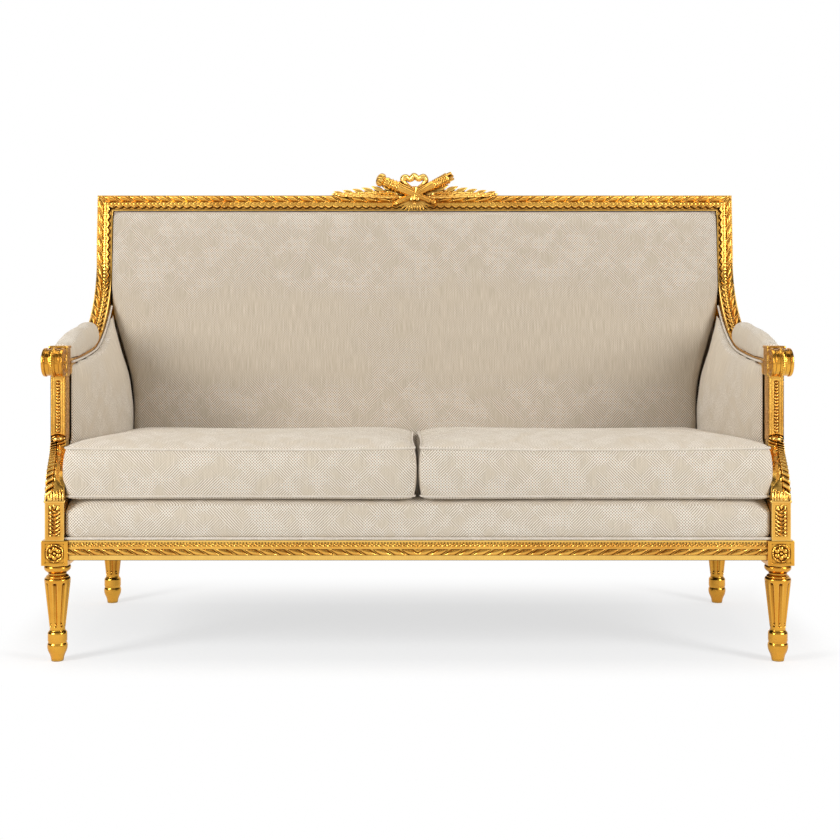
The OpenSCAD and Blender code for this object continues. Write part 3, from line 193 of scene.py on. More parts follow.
def gilding_group():
    """Gold leaf over red bole, with painted shade and painted highlight. Hollow is above 0 in carved hollows and
    below 0
    on ridges: hollows are painted brown as shade and ridges pale as highlight, and an ambient occlusion mask paints
    shade into corners and gaps. A slow noise drifts the tone, a fine one breaks the gloss."""
    group, given = shader_group("gold leaf over bole", {
        "Vector": "Vector", "Hollow": "Float", "Leaf": "Color", "PaintedHighlight": "Color", "Depth": "Color",
        "Gloss": "Float", "PaintedShadeReach": "Float"}, {"Color": "Color", "Roughness": "Float", "Height": "Float"})
    drift = noise(group, given["Vector"], 9.0, 4.0)
    grain = noise(group, given["Vector"], 330.0, 3.0)
    worn = noise(group, given["Vector"], 70.0, 5.0, Roughness=0.7)
    warm = blend_colours(group, ramp_value(group, drift, 0.35, 0.7, 0.0, 0.55),
                         given["Leaf"], srgb(196, 122, 38))
    tone = blend_colours(group, ramp_value(group, worn, 0.62, 0.78, 0.0, 0.45), warm, srgb(122, 62, 24))
    # Painted highlight: ridges, where hollow is below 0, go towards the pale ridge colour.
    raised = math_node(group, "MULTIPLY", given["Hollow"], -1.0)
    tone = blend_colours(group, ramp_value(group, raised, 0.4, 1.4, 0.0, 0.55), tone, given["PaintedHighlight"])
    # Painted shade: ambient occlusion darkens corners and gaps, and hollow darkens carved hollows, towards the brown
    # depth colour.
    shade = add_node(group, "ShaderNodeAmbientOcclusion", {"samples": 8},
                     {"Distance": given["PaintedShadeReach"]}).outputs["AO"]
    corner = ramp_value(group, shade, 0.24, 0.78, 0.9, 0.0)
    sunk = math_node(group, "MAXIMUM", ramp_value(group, given["Hollow"], 0.1, 0.9, 0.0, 0.95), corner)
    tone = blend_colours(group, sunk, tone, given["Depth"])
    rough = math_node(group, "ADD", given["Gloss"], ramp_value(group, worn, 0.3, 0.8, 0.0, 0.16))
    rough = math_node(group, "ADD", rough, math_node(group, "MULTIPLY", sunk, 0.3), True)
    height = math_node(group, "ADD", math_node(group, "MULTIPLY", grain, 0.3), worn)
    add_node(group, "NodeGroupOutput", None, {0: tone, 1: rough, 2: height})
    return group


gold_leaf = gilding_group()


def plain_finish(name, roughness, metallic=0.0):
    """Empty material with its shader, its tree and Object coordinates."""
    finish = bpy.data.materials.new(name)
    finish.use_nodes = True
    shader = finish.node_tree.nodes["Principled BSDF"]
    shader.inputs["Roughness"].default_value = roughness
    shader.inputs["Metallic"].default_value = metallic
    place = add_node(finish.node_tree, "ShaderNodeTexCoord").outputs["Object"]
    return finish, finish.node_tree, shader, place


def dress(tree, shader, colour, height, strength, distance):
    """Gives a shader its colour, and a height as dents of a strength and a depth."""
    tree.links.new(colour, shader.inputs["Base Color"])
    dents = add_node(tree, "ShaderNodeBump", None, {"Strength": strength, "Distance": distance, "Height": height})
    tree.links.new(dents.outputs[0], shader.inputs["Normal"])


def gilt_finish(name, leaf, ridge, depth, gloss, spread, bump):
    """Gilded surface: metal all through, with the tone and the gloss of the gilding group. Ridge is the painted
    highlight colour, depth the painted shade colour and spread how far the painted corner shade reaches.
    """
    finish, tree, shader, place = plain_finish(name, gloss, 1.0)
    hollow = add_node(tree, "ShaderNodeAttribute", {"attribute_name": "hollow"}).outputs["Fac"]
    leafed = add_node(tree, "ShaderNodeGroup", {"node_tree": gold_leaf},
                      {"Vector": place, "Hollow": hollow, "Leaf": leaf, "PaintedHighlight": ridge, "Depth": depth,
                       "Gloss": gloss, "PaintedShadeReach": spread}).outputs
    dress(tree, shader, leafed["Color"], leafed["Height"], bump, 0.0006)
    tree.links.new(leafed["Roughness"], shader.inputs["Roughness"])
    return finish


# For each gilt finish: leaf, painted highlight, painted shade, gloss, reach of the painted shade, bump.
burnished = gilt_finish("burnished gold leaf", srgb(235, 174, 68), srgb(253, 212, 112),
                        srgb(74, 36, 10), 0.17, 0.012, 0.12)
carved = gilt_finish("carved gold leaf", srgb(246, 189, 88), srgb(250, 212, 122),
                     srgb(54, 24, 7), 0.2, 0.009, 0.2)


def hollowness(points, edges, normals, rounds=6):
    """How far a point lies under the average of its neighbours along its normal, in mm,
    after a few rounds of averaging: above 0 in hollows and below 0 on ridges."""
    first, second = edges[:, 0], edges[:, 1]
    count = np.bincount(edges.ravel(), minlength=len(points)).clip(1)[:, None]
    smooth = points.copy()
    for _ in range(rounds):
        total = np.stack([np.bincount(first, smooth[second, k], len(points))
                          + np.bincount(second, smooth[first, k], len(points)) for k in range(3)], 1)
        smooth = 0.3 * smooth + 0.7 * total / count
    return ((smooth - points) * normals).sum(1) * 1000


def outward(points, faces):
    """Faces of a closed shell, turned round where its signed volume is below 0."""
    faces = [np.asarray(part) for part in faces]
    volume = 0.0
    for part in faces:
        for k in range(1, part.shape[1] - 1):
            a, b, c = points[part[:, 0]], points[part[:, k]], points[part[:, k + 1]]
            volume += (a * np.cross(b, c)).sum()
    return [part[:, ::-1] for part in faces] if volume < 0 else faces


def read_rows(items, key, width=1, kind=float):
    """One property of all items of a mesh, as an array with a row for each."""
    values = np.empty(len(items) * width, kind)
    items.foreach_get(key, values)
    return values.reshape(-1, width)


def make_piece(name, points, faces, finish, slot_name, replaced=(), body="frame", crease=42,
               carving=0.0, cloth=None):
    """Makes one object from points and lists of faces with equal corners, faces outwards.
    Carving scales the stored hollowness of the points, which the gilt finishes paint as shade in hollows and
    highlight on ridges."""
    points = np.asarray(points, float)
    faces = outward(points, faces)
    mesh = bpy.data.meshes.new(name)
    corners = np.concatenate([part.ravel() for part in faces]).astype(np.int32)
    sizes = np.concatenate([np.full(len(part), part.shape[1]) for part in faces])
    starts = np.concatenate([[0], np.cumsum(sizes)[:-1]]).astype(np.int32)
    mesh.vertices.add(len(points))
    mesh.vertices.foreach_set("co", points.astype(np.float32).ravel())
    mesh.loops.add(len(corners))
    mesh.loops.foreach_set("vertex_index", corners)
    mesh.polygons.add(len(sizes))
    mesh.polygons.foreach_set("loop_start", starts)
    mesh.polygons.foreach_set("use_smooth", np.ones(len(sizes), bool))
    mesh.update(calc_edges=True)
    mesh.validate()
    mesh.set_sharp_from_angle(angle=math.radians(crease))
    if carving:
        edges = read_rows(mesh.edges, "vertices", 2, np.int32)
        value = hollowness(points, edges, read_rows(mesh.vertex_normals, "vector", 3)) * carving
        mesh.attributes.new("hollow", "FLOAT", "POINT").data.foreach_set("value", value.astype(np.float32))
    if cloth is not None:
        mesh.uv_layers.new(name="cloth").data.foreach_set("uv", cloth[corners].astype(np.float32).ravel())
    mesh.materials.append(finish)
    piece = put(name, mesh)
    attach(piece, body)
    if replaced:
        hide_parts(*replaced)
    return piece


def grid_faces(rows, columns, wrap=True):
    """Four-cornered faces of a grid of points listed row by row, closed round each row."""
    r = np.arange(rows - 1)[:, None]
    c = np.arange(columns if wrap else columns - 1)[None, :]
    n = (c + 1) % columns
    return np.stack([r * columns + c, r * columns + n, (r + 1) * columns + n, (r + 1) * columns + c],
                    -1).reshape(-1, 4)


def capped_tube(rings):
    """Closed shell through rings of points (rows, columns, 3): a fan closes each end."""
    rows, columns, _ = rings.shape
    points = np.concatenate([rings.reshape(-1, 3), [rings[0].mean(0), rings[-1].mean(0)]])
    c = np.arange(columns)
    n = (c + 1) % columns
    low = np.stack([np.full(columns, rows * columns), n, c], 1)
    last = (rows - 1) * columns
    high = np.stack([np.full(columns, rows * columns + 1), last + c, last + n], 1)
    return points, [grid_faces(rows, columns), np.concatenate([low, high])]


def joined(*shells, sealed=True):
    """Several closed shells as one set with all faces outwards, sorted by their corners."""
    points, faces, start = [], {}, 0
    for pts, parts in shells:
        for part in outward(np.asarray(pts, float), parts) if sealed else parts:
            part = np.asarray(part)
            faces.setdefault(part.shape[1], []).append(part + start)
        points.append(np.asarray(pts, float))
        start += len(pts)
    return np.concatenate(points), [np.concatenate(parts) for parts in faces.values()]


def smooth_step(t):
    """Slow start and end between 0 and 1."""
    t = np.clip(t, 0, 1)
    return t * t * (3 - 2 * t)


def carved_block(low, high, steps, reliefs, edge=0.0012):
    """Closed box of face grids. Its edges are rounded, and the relief of each carved face,
    a function of the distance across and up from the face's middle, moves points outwards."""
    low, high = np.array(low, float), np.array(high, float)
    shells = []
    for axis in range(3):
        u_axis, v_axis = [(1, 2), (0, 2), (0, 1)][axis]
        for end in (-1, 1):
            u = np.linspace(0, 1, steps[u_axis] + 1)
            v = np.linspace(0, 1, steps[v_axis] + 1)
            share = np.stack(np.meshgrid(u, v, indexing="ij"), -1).reshape(-1, 2)
            points = np.empty((len(share), 3))
            points[:, u_axis] = low[u_axis] + (high - low)[u_axis] * share[:, 0]
            points[:, v_axis] = low[v_axis] + (high - low)[v_axis] * share[:, 1]
            points[:, axis] = high[axis] if end > 0 else low[axis]
            inner = np.clip(points, low + edge, high - edge)
            away = points - inner
            rounded = inner + edge * away / np.linalg.norm(away, axis=1)[:, None]
            if (axis, end) in reliefs:
                mid = (low + high) / 2
                rounded[:, axis] += end * reliefs[(axis, end)](points[:, u_axis] - mid[u_axis],
                                                               points[:, v_axis] - mid[v_axis])
            turn = end if axis != 1 else -end
            faces = grid_faces(len(u), len(v), False)
            shells.append((rounded, [faces if turn > 0 else faces[:, ::-1]]))
    points, faces = joined(*shells, sealed=False)
    keys = np.round(points * 1e6).astype(np.int64)
    _, first, back = np.unique(keys, axis=0, return_index=True, return_inverse=True)
    return points[first], [back.ravel()[part] for part in faces]


leg_x, leg_front_y, leg_rear_y = 0.7735, -0.3145, 0.267
leg_h, leg_r = 0.2075, 0.0278
block_w, block_h = 0.057, 0.0535
flute_n, flute_w, flute_cut = 8, 0.0098, 0.0036
frame_top = leg_h + block_h
turning = [
    (0, 0.464, 0), (0.039, 0.513, 0), (0.07, 0.59, 0.01), (0.111, 0.727, 0.015),
    (0.158, 0.775, 0), (0.175, 0.757, 0), (0.188, 0.708, 0), (0.2, 0.712, 0),
    (0.212, 0.745, 0), (0.288, 0.742, 0), (0.3, 0.7, 0), (0.316, 0.6, 0),
    (0.33, 0.585, 0), (0.836, 1.003, 0), (0.846, 1.0, 0.01), (0.862, 0.93, 0),
    (0.867, 0.865, 0), (0.87, 0.865, 0.03), (0.884, 0.79, 0), (0.893, 0.69, 0),
    (0.912, 0.7, 0.01), (0.936, 0.93, 0.02), (0.962, 1.02, 0.02), (0.985, 0.98, 0),
    (0.989, 0.93, 0), (1, 0.93, 0)]
shaft_low, shaft_high = turning[12], turning[13]


def turned_leg():
    """Turning of radius r(height): straight between the listed points plus half a sine of
    swell. Flutes are round-ended grooves that narrow with the taper, each with a small bead."""
    heights, radii = [], []
    for (z0, r0, swell), (z1, r1, _) in zip(turning[:-1], turning[1:]):
        count = max(4, int((z1 - z0) * leg_h / 0.0012))
        t = np.linspace(0, 1, count, endpoint=False)
        heights.append((z0 + (z1 - z0) * t) * leg_h)
        radii.append((r0 + (r1 - r0) * t + swell * np.sin(np.pi * t)) * leg_r)
    z = np.concatenate(heights + [[leg_h]])[:, None]
    r = np.concatenate(radii + [[turning[-1][1] * leg_r]])[:, None]
    columns = 18 * flute_n
    angle = np.linspace(0, 2 * np.pi, columns, endpoint=False)[None, :] - np.pi / 2
    z0, z1 = shaft_low[0] * leg_h, shaft_high[0] * leg_h
    t = (z - z0) / (z1 - z0)
    half = flute_w / 2 * (0.62 + 0.38 * np.clip(t, 0, 1))
    low, high = z0 + 0.05 * (z1 - z0) + flute_w * 0.32, z1 - 0.035 * (z1 - z0) - flute_w / 2
    step = 2 * np.pi / flute_n
    turn = (angle + np.pi / 2 + step / 2) % step - step / 2
    side = turn * r
    past = np.maximum(np.maximum(low - z, z - high), 0)
    off = np.sqrt(side ** 2 + past ** 2) / half
    groove = flute_cut * (0.78 + 0.42 * t.clip(0, 1)) * np.sqrt(np.clip(1 - off ** 2, 0, 1))
    bead = np.sqrt(side ** 2 + (z - low - 0.0012) ** 2) / 0.0026
    radius = r - groove + 0.0022 * np.sqrt(np.clip(1 - bead ** 2, 0, 1))
    rings = np.stack([radius * np.cos(angle), radius * np.sin(angle), z + 0 * radius], -1)
    return capped_tube(rings)


def rosette(across, up, size=0.0185, floor_cut=0.0012, half=0.0215):
    """Sunk square with a flower: a beaded rim, six round petals and an eye."""
    rho = np.hypot(across, up) / size
    phi = np.arctan2(up, across)
    square = np.maximum(np.abs(across), np.abs(up))
    sink = -floor_cut * smooth_step((half - square) / 0.0014)
    rim = 0.003 * np.exp(-((rho - 0.95) / 0.075) ** 2) * (0.8 + 0.2 * np.cos(24 * phi))
    flower = 0
    for k in range(6):
        turn = k * np.pi / 3 + np.pi / 6
        bud = np.hypot(across / size - 0.51 * np.cos(turn), up / size - 0.51 * np.sin(turn)) / 0.28
        flower = np.maximum(flower, 0.0034 * np.sqrt(np.clip(1 - bud ** 2, 0, 1)))
    eye = 0.0046 * np.sqrt(np.clip(1 - (rho / 0.19) ** 2, 0, 1))
    return sink + rim + flower + eye


turned = turned_leg()
hands = (("left", -1), ("right", 1))
half = block_w / 2
for end, y, on_front in (("front", leg_front_y, {(1, -1): rosette}), ("rear", leg_rear_y, {})):
    for tag, sign in hands:
        leg = end + "_leg_" + tag
        middle = np.array([sign * leg_x, y, 0])
        cube = carved_block(middle + [-half, -half, leg_h], middle + [half, half, frame_top],
                            (44, 44, 42), {(0, sign): rosette, **on_front})
        make_piece(leg + "_carved", *joined((turned[0] + middle, turned[1]), cube), burnished, "gilt", (leg,),
                   carving=1.6)


# ---- Seat rails ----
# Beech rails tenoned between the leg blocks, moulded and carved before gilding: a plain
# fillet, a ribbon twist, a shallow cove, a row of leaf tips under drilled eyes, a fillet.
def ribbon_twist(along, across, middle, radius, pitch):
    """Half round cut into slanted lozenges, one per pitch, with a deep gap between two.
    A negative pitch slants them the other way."""
    side = (across - middle) / radius
    turn = (along / pitch + 0.3 * side) % 1
    lobe = np.sqrt(np.clip(1 - ((turn - 0.5) / 0.37) ** 2, 0, 1)) ** 0.8
    return np.sqrt(np.clip(1 - side ** 2, 0, 1)) * (0.02 + 0.98 * lobe), np.abs(side) < 1


def rail_relief(along, up):
    """Height of the rail's carving over its ground, in metres, along it and up its face."""
    s, w = np.broadcast_arrays(along * 1000, up * 1000)
    h = np.where(w < 10.0, 2.2, np.where(w < 23.2, 0.6, 2.2))
    twist, inside = ribbon_twist(s, w, 16.6, 6.4, -30.5)
    h = np.where(inside, 0.6 + 5.2 * twist, h)
    slide = ((s - 0.9 * (w - 31)) / 9.95) % 1 - 0.5
    drop = np.clip(1 - (slide / 0.3) ** 2 - ((w - 31.2) / (3.6 - 3 * np.abs(slide))) ** 2, 0, 1)
    h = np.where(w > 26.0, 2.2 + 2.4 * np.sqrt(drop) + 0.9 * (w > 37.8), h)
    dot = np.hypot((s % 6.7) - 3.35, w - 36.4) / 1.3
    h = np.where(dot < 1, np.minimum(h, 2.2 - 3.4 * np.sqrt(np.clip(1 - dot ** 2, 0, 1))), h)
    return h / 1000


def moulded(base, outs, height, back):
    """Closed run of moulding: face points (rows, columns, 3) raised along their outward
    directions by a height, with extra rings of points that close the back."""
    face = base + outs * height[..., None]
    return capped_tube(np.concatenate([face, back], 1))


rail_h, rail_t, rail_relief_h = 0.042, 0.028, 0.0045
rail_low = frame_top - rail_h
rebate_w, rebate_h = 0.014, 0.005
rail_rows = np.unique(np.concatenate([
    [0, 0.6, 9.4, 9.9, 10.1, 23.1, 23.4, 25.9, 26.1, 37.7, 37.9, 41.4, 42],
    np.linspace(10.4, 22.9, 16), np.linspace(27.2, 34.8, 13), np.linspace(35.1, 37.6, 7)])) / 1000


def carved_rail(length, middle, to_world):
    """Rail of a length along its own X, its face looking to -Y, then carried to its place.
    The carving is mirrored at the middle."""
    n = int(length / 0.0013)
    x = np.linspace(0, length, n)[:, None]
    w = rail_rows[None, :]
    base = np.stack([x + 0 * w, 0 * x + 0 * w, 0 * x + w], -1)
    height = rail_relief(np.abs(x - middle), w)
    deep = rail_t - rail_relief_h
    corners = [(rail_h, deep - rebate_w), (rail_h - rebate_h, deep - rebate_w), (rail_h - rebate_h, deep), (0, deep)]
    back = np.stack([np.stack([x[:, 0], np.full(n, y), np.full(n, z)], -1) for z, y in corners], 1)
    points, faces = moulded(base, np.array([0, -1, 0]), height, back)
    return to_world(points), faces


rail_x, rail_face_y = leg_x - block_w / 2, -0.3335
front = carved_rail(2 * rail_x, rail_x, lambda p: p + [-rail_x, rail_face_y, rail_low])
make_piece("front_rail_carved", *front, carved, "gilt", ("front_rail",), carving=1.3)
side_run, side_face_x, side_start_y = 0.5245, 0.7925, -0.286
for tag, sign in hands:
    side = carved_rail(side_run, 0, lambda p: np.stack(
        [sign * (side_face_x - p[:, 1]), side_start_y + p[:, 0], p[:, 2] + rail_low], 1))
    make_piece("side_rail_carved_" + tag, *side, carved, "gilt", ("side_rail_" + tag,), carving=1.3)


# ---- Arm supports ----
# Each is carved from one piece of beech: a square foot with a sunk panel of hanging
# scales, an S-curve dressed with an acanthus leaf, and a post with a channel of husks.
foot_w, foot_top = 0.0415, 0.347
post_x, post_w, post_y = 0.792, 0.034, (-0.234, -0.197)
post_low, post_high = 0.466, 0.607


def hanging_scales(across, up, half_w=0.0135, half_h=0.034, deep=0.0009):
    """Sunk panel of U-shaped rims that hang one under the other, under a spiky leaf."""
    inside = np.minimum(half_w - np.abs(across), half_h - np.abs(up))
    sink = -deep * smooth_step(inside / 0.001)
    best = np.zeros_like(across)
    for k in range(7):
        middle = 0.0195 - k * 0.0083
        rho = np.hypot(across, (up - middle) * 1.25)
        hangs = smooth_step((middle + 0.002 - up) / 0.003)
        rim = 0.0032 * np.exp(-((rho - 0.0098) / 0.0021) ** 2) * hangs
        eye = 0.0026 * np.exp(-(rho / 0.0028) ** 2)
        best = np.maximum(best, np.maximum(rim, eye))
    spikes = 0.0044 * (np.abs(np.cos(np.arctan2(across, up - 0.019) * 3.5)) ** 2) * np.clip(
        1 - np.hypot(across, up - 0.0245) / 0.011, 0, 1) ** 0.4
    return sink + np.where(inside > 0.0008, np.maximum(best, spikes * (up > 0.0215)), 0)


def husk_channel(across, up, half_w=0.0078, half_h=0.064, deep=0.0013):
    """Coved channel with a chain of crescent husks that shrink upwards, between two reeds."""
    end = np.clip((half_h - np.abs(up)) / 0.004, 0, 1)
    cove = -deep * np.sqrt(np.clip(1 - (across / half_w) ** 2, 0, 1)) * end
    best = np.zeros_like(across)
    for k in range(16):
        middle = -0.0495 + 0.0071 * k
        size = 0.0048 * (1 - 0.013 * k)
        rho = np.hypot(across / size, (up - middle) / (size * 0.92))
        dome = np.sqrt(np.clip(1 - rho ** 2, 0, 1))
        notch = np.clip(1.2 - np.hypot(across, up - middle - size * 0.75) / (size * 0.65), 0, 1)
        best = np.maximum(best, 0.004 * dome * (1 - 0.8 * notch))
    reed = -0.0009 * np.exp(-((np.abs(across) - half_w - 0.0036) / 0.0009) ** 2)
    round_off = -0.0016 * np.clip((np.abs(across) - 0.0135) / 0.0035, 0, 1) ** 2
    arch = -0.0035 * np.exp(-((np.hypot(across / 0.0124, (up + 0.0675) / 0.0062) - 1.4) / 0.2) ** 2)
    return cove + best + reed + round_off + arch


def left_of(to):
    """Directions (depth, height) turned left by a quarter, so a curve's outward normals."""
    return np.stack([-to[:, 1], to[:, 0]], 1)


def curve_point(points, t):
    """Bezier curve through four (depth, height) points, and its unit direction."""
    c = np.array(points)
    t = np.asarray(t, float)[:, None]
    at = c[0] * (1 - t) ** 3 + c[1] * 3 * t * (1 - t) ** 2 + c[2] * 3 * t * t * (1 - t) + c[3] * t ** 3
    to = (c[1] - c[0]) * (1 - t) ** 2 + (c[2] - c[1]) * 2 * t * (1 - t) + (c[3] - c[2]) * t * t
    return at, to / np.linalg.norm(to, axis=1)[:, None]


def gilt_pair(name, node, shell, finish, carving):
    """A right-hand shell as one gilded piece, and its mirror image as the left-hand one."""
    for tag, sign in hands:
        make_piece(name + tag, shell[0] * np.array([sign, 1, 1]), shell[1], finish, "gilt", (node + tag,),
                   carving=carving)


front_y = -0.343
scroll_line = [(0.02075, 0.347), (0.02075, 0.4148), (0.1275, 0.3982), (0.1275, 0.466)]


def scroll_half(t):
    """Half the thickness of the S-curve: from the foot's to the post's, swelling between."""
    return (foot_w + (0.037 - foot_w) * t) / 2 + 0.003 * np.sin(np.pi * t)


def acanthus_scroll():
    """S-curve: a rounded section carried up the curve. The outer half of its front carries
    slanted leaf lobes; the inner half falls back as a plain cheek. A collar of leaf tips
    stands round its base."""
    t = np.linspace(0, 1, 170)
    at, to = curve_point(scroll_line, t)
    normal = left_of(to)
    run = np.concatenate([[0], np.cumsum(np.linalg.norm(np.diff(at, axis=0), axis=1))])[:, None]
    half_t = scroll_half(t)[:, None]
    half_w = ((foot_w + (post_w - foot_w) * t) / 2)[:, None]
    u = np.linspace(-1, 1, 45)[None, :]
    open_part = (smooth_step((t - 0.05) / 0.2) * smooth_step((0.98 - t) / 0.16))[:, None]
    wave = (run / 0.0108 + u * 0.9) % 1
    teeth = np.clip(1 - ((wave - 0.5) / 0.42) ** 2, 0, 1) ** 0.6
    band = np.maximum(smooth_step((u - 0.04) / 0.12), 0.5 * smooth_step((t - 0.86) / 0.05)[:, None])
    vein = 1 - 0.5 * np.exp(-((u - 0.14) / 0.05) ** 2)
    carving = 0.0078 * teeth * vein * band - 0.0045 * band
    veins = 0.0009 * np.sin(np.pi * (run / 0.016 - u * 1.2)) * (1 - band)
    cheek = -0.017 * np.clip((-0.05 - u) / 0.95, 0, 1) ** 0.9 * open_part
    edge_fall = -0.003 * np.clip(np.abs(u) - 0.75, 0, 1) ** 2 * 16 * (1 - 0.6 * open_part)
    tips = 0.7 + 0.3 * np.abs(np.cos(3.5 * np.pi * u))
    collar = 0.0085 * np.sqrt(np.clip(1 - (run / (0.0175 * tips)) ** 2, 0, 1)) * tips
    front = half_t + np.maximum(carving + veins + cheek + edge_fall, collar - 0.0045)
    across = np.sign(u) * np.abs(u) ** 0.9 * half_w
    back = np.array([(1, 0.55), (1, 0.0), (0.97, -0.85), (0.85, -1),
                     (-0.85, -1), (-0.97, -0.85), (-1, 0.0), (-1, 0.2)])
    side, behind = back[None, :, 0] * half_w, back[None, :, 1] * half_t
    centre = leg_x + (post_x - leg_x) * smooth_step(t)[:, None]
    out = np.concatenate([front, behind], 1)
    x = centre + np.concatenate([across, side], 1)
    d = at[:, 0:1] + normal[:, 0:1] * out
    z = at[:, 1:2] + normal[:, 1:2] * out
    return capped_tube(np.stack([x, front_y + d, z], -1))


def round_bud(middle, radius, stretch=(1, 1, 1)):
    """Ball of rings from pole to pole, stretched along each axis."""
    lat = np.linspace(-np.pi / 2 + 0.05, np.pi / 2 - 0.05, 14)[:, None]
    lon = np.linspace(0, 2 * np.pi, 24, endpoint=False)[None, :]
    ball = np.stack([np.cos(lat) * np.cos(lon), np.cos(lat) * np.sin(lon), np.sin(lat) + 0 * lon], -1)
    return capped_tube(ball * radius * np.array(stretch) + np.array(middle))


support = joined(
    carved_block((leg_x - foot_w / 2, front_y, frame_top), (leg_x + foot_w / 2, front_y + foot_w, foot_top),
                 (34, 6, 84), {(1, -1): hanging_scales}),
    carved_block((leg_x - foot_w / 2 - 0.002, front_y - 0.0015, foot_top - 0.006),
                 (leg_x + foot_w / 2 + 0.002, front_y + foot_w + 0.0015, foot_top + 0.001),
                 (20, 20, 4), {}, 0.0025),
    acanthus_scroll(),
    carved_block((post_x - post_w / 2, post_y[0], post_low - 0.003), (post_x + post_w / 2, post_y[1], post_high),
                 (34, 6, 140), {(1, -1): husk_channel}),
    round_bud((post_x, post_y[0] - 0.001, post_low + 0.0015), 0.0124, (1, 0.85, 0.5)))
gilt_pair("arm_support_carved_", "arm_support_", support, carved, 1.5)


# ---- Arm rails ----
# A sawn and rounded rail under each armrest pad. Its front end is turned across into a
# rolled volute with fillets, a row of pearls round its middle and a rosette on each end.
rail_deep, rail_wide = 0.036, 0.041
arm_line = [(0.146, 0.643), (0.2199, 0.6449), (0.3006, 0.6505), (0.370, 0.659)]
sweep_line = [(0.370, 0.659), (0.4953, 0.6742), (0.6277, 0.7880), (0.6365, 0.8886)]
outer_x, flare = 0.8125, 0.008


def arm_sweep():
    """Rounded section carried along the arm's curve and the start of the sweep."""
    a, to_a = curve_point(arm_line, np.linspace(0, 1, 30))
    b, to_b = curve_point(sweep_line, np.linspace(0, 0.3, 20)[1:])
    at, to = np.concatenate([a, b]), np.concatenate([to_a, to_b])
    spread = np.concatenate([np.zeros(30), np.linspace(0, 0.3, 20)[1:]])
    normal = left_of(to)
    c = np.linspace(0, 2 * np.pi, 40, endpoint=False) + 0.01
    across = np.sign(np.cos(c)) * np.abs(np.cos(c)) ** 0.22 * rail_wide / 2
    out = np.sign(np.sin(c)) * np.abs(np.sin(c)) ** 0.22 * rail_deep / 2 - rail_deep / 2
    x = outer_x + flare * spread[:, None] ** 2 - rail_wide / 2 + across[None, :]
    d = at[:, 0:1] + normal[:, 0:1] * out
    z = at[:, 1:2] + normal[:, 1:2] * out
    return capped_tube(np.stack([x, front_y + d, z], -1))


volute_r, volute_w, volute_at = 0.0315, 0.047, (0.796, 0.093, 0.637)


def rolled_end():
    """Roll about an axis along X. Its radius follows two fillets, hollows and a pearled
    middle band; each end is a rim round a sunk rosette."""
    profile = [(-0.5, 0.0), (-0.472, 0.16), (-0.466, 0.26), (-0.452, 0.34), (-0.452, 0.62), (-0.47, 0.70),
               (-0.497, 0.76), (-0.5, 0.86), (-0.485, 0.95), (-0.455, 0.995), (-0.36, 1.0), (-0.345, 0.985),
               (-0.335, 0.945), (-0.30, 0.93), (-0.16, 0.93), (-0.125, 0.945), (-0.118, 0.985), (-0.10, 1.0),
               (-0.06, 0.99), (0, 0.985)]
    half = np.array(profile)
    line = np.concatenate([half, (half * [-1, 1])[-2::-1]])
    steps = np.concatenate([[0], np.cumsum(np.hypot(*np.diff(line, axis=0).T))])
    n = 110
    s = np.linspace(0, steps[-1], n)
    x, r = np.interp(s, steps, line[:, 0])[:, None], np.interp(s, steps, line[:, 1])[:, None]
    r = np.maximum(r, 0.02)
    angle = np.linspace(0, 2 * np.pi, 168, endpoint=False)[None, :]
    arc = angle * volute_r * 1000
    pearl = np.hypot((arc % 5.5) - 2.75, x * volute_w * 1000) / 2.5
    lump = 0.055 * np.sqrt(np.clip(1 - pearl ** 2, 0, 1))
    ripple = 0.012 * np.abs(np.sin(arc * np.pi / 9)) * ((np.abs(x) > 0.17) & (np.abs(x) < 0.3))
    face = (r < 0.66) & (np.abs(x) > 0.4)
    petal = np.abs(np.cos(angle * 3)) ** 0.6 * np.clip(np.sin(np.pi * np.clip((r - 0.16) / 0.48, 0, 1)), 0, 1)
    eye = np.sqrt(np.clip(1 - (r / 0.17) ** 2, 0, 1))
    x = x + np.sign(x) * np.where(face, 0.055 * petal + 0.05 * eye, 0)
    radius = (r + np.where(np.abs(x) < 0.1, lump, 0) + ripple) * volute_r
    rings = np.stack([volute_at[0] + x * volute_w + 0 * radius, front_y + volute_at[1] + radius * np.cos(angle),
                      volute_at[2] + radius * np.sin(angle)], -1)
    return capped_tube(rings)


arm_block = carved_block((post_x - 0.02, post_y[0], post_high - 0.002), (post_x + 0.02, post_y[1], 0.672),
                         (16, 16, 24), {}, 0.004)
lip = carved_block((post_x - 0.0215, post_y[0] - 0.002, 0.6655), (post_x + 0.0215, post_y[1] + 0.0002, 0.6725),
                   (20, 20, 6), {}, 0.003)
arm_parts = joined(arm_sweep(), rolled_end(), arm_block, lip)
gilt_pair("arm_rail_carved_", "arm_rail_", arm_parts, burnished, 1.5)


# ---- Back frame ----
# Two stiles that sweep up from the arm rails and a top rail mitred to them. Their faces
# carry a ribbon twist at the outer edge, a band of leaves, and a plain lip for the cloth.
top_out, back_h = 0.8205, 1.044
rake = math.radians(5)
up_back = np.array([math.sin(rake), math.cos(rake)])
out_back = np.array([-math.cos(rake), math.sin(rake)])
top_edge = np.array([0.686 - 0.036 * math.cos(rake), back_h])
stile_run, frame_t = 0.156, 0.036
frame_columns = np.unique(np.concatenate([
    [0, 0.8, 1.9, 2.3, 15.1, 15.5, 16.0, 35.2, 36.0, 37.1, 37.5, 38.2, 40.0, 40.7, 41],
    np.linspace(2.2, 15.0, 16), np.linspace(16.6, 34.6, 20)])) / 1000


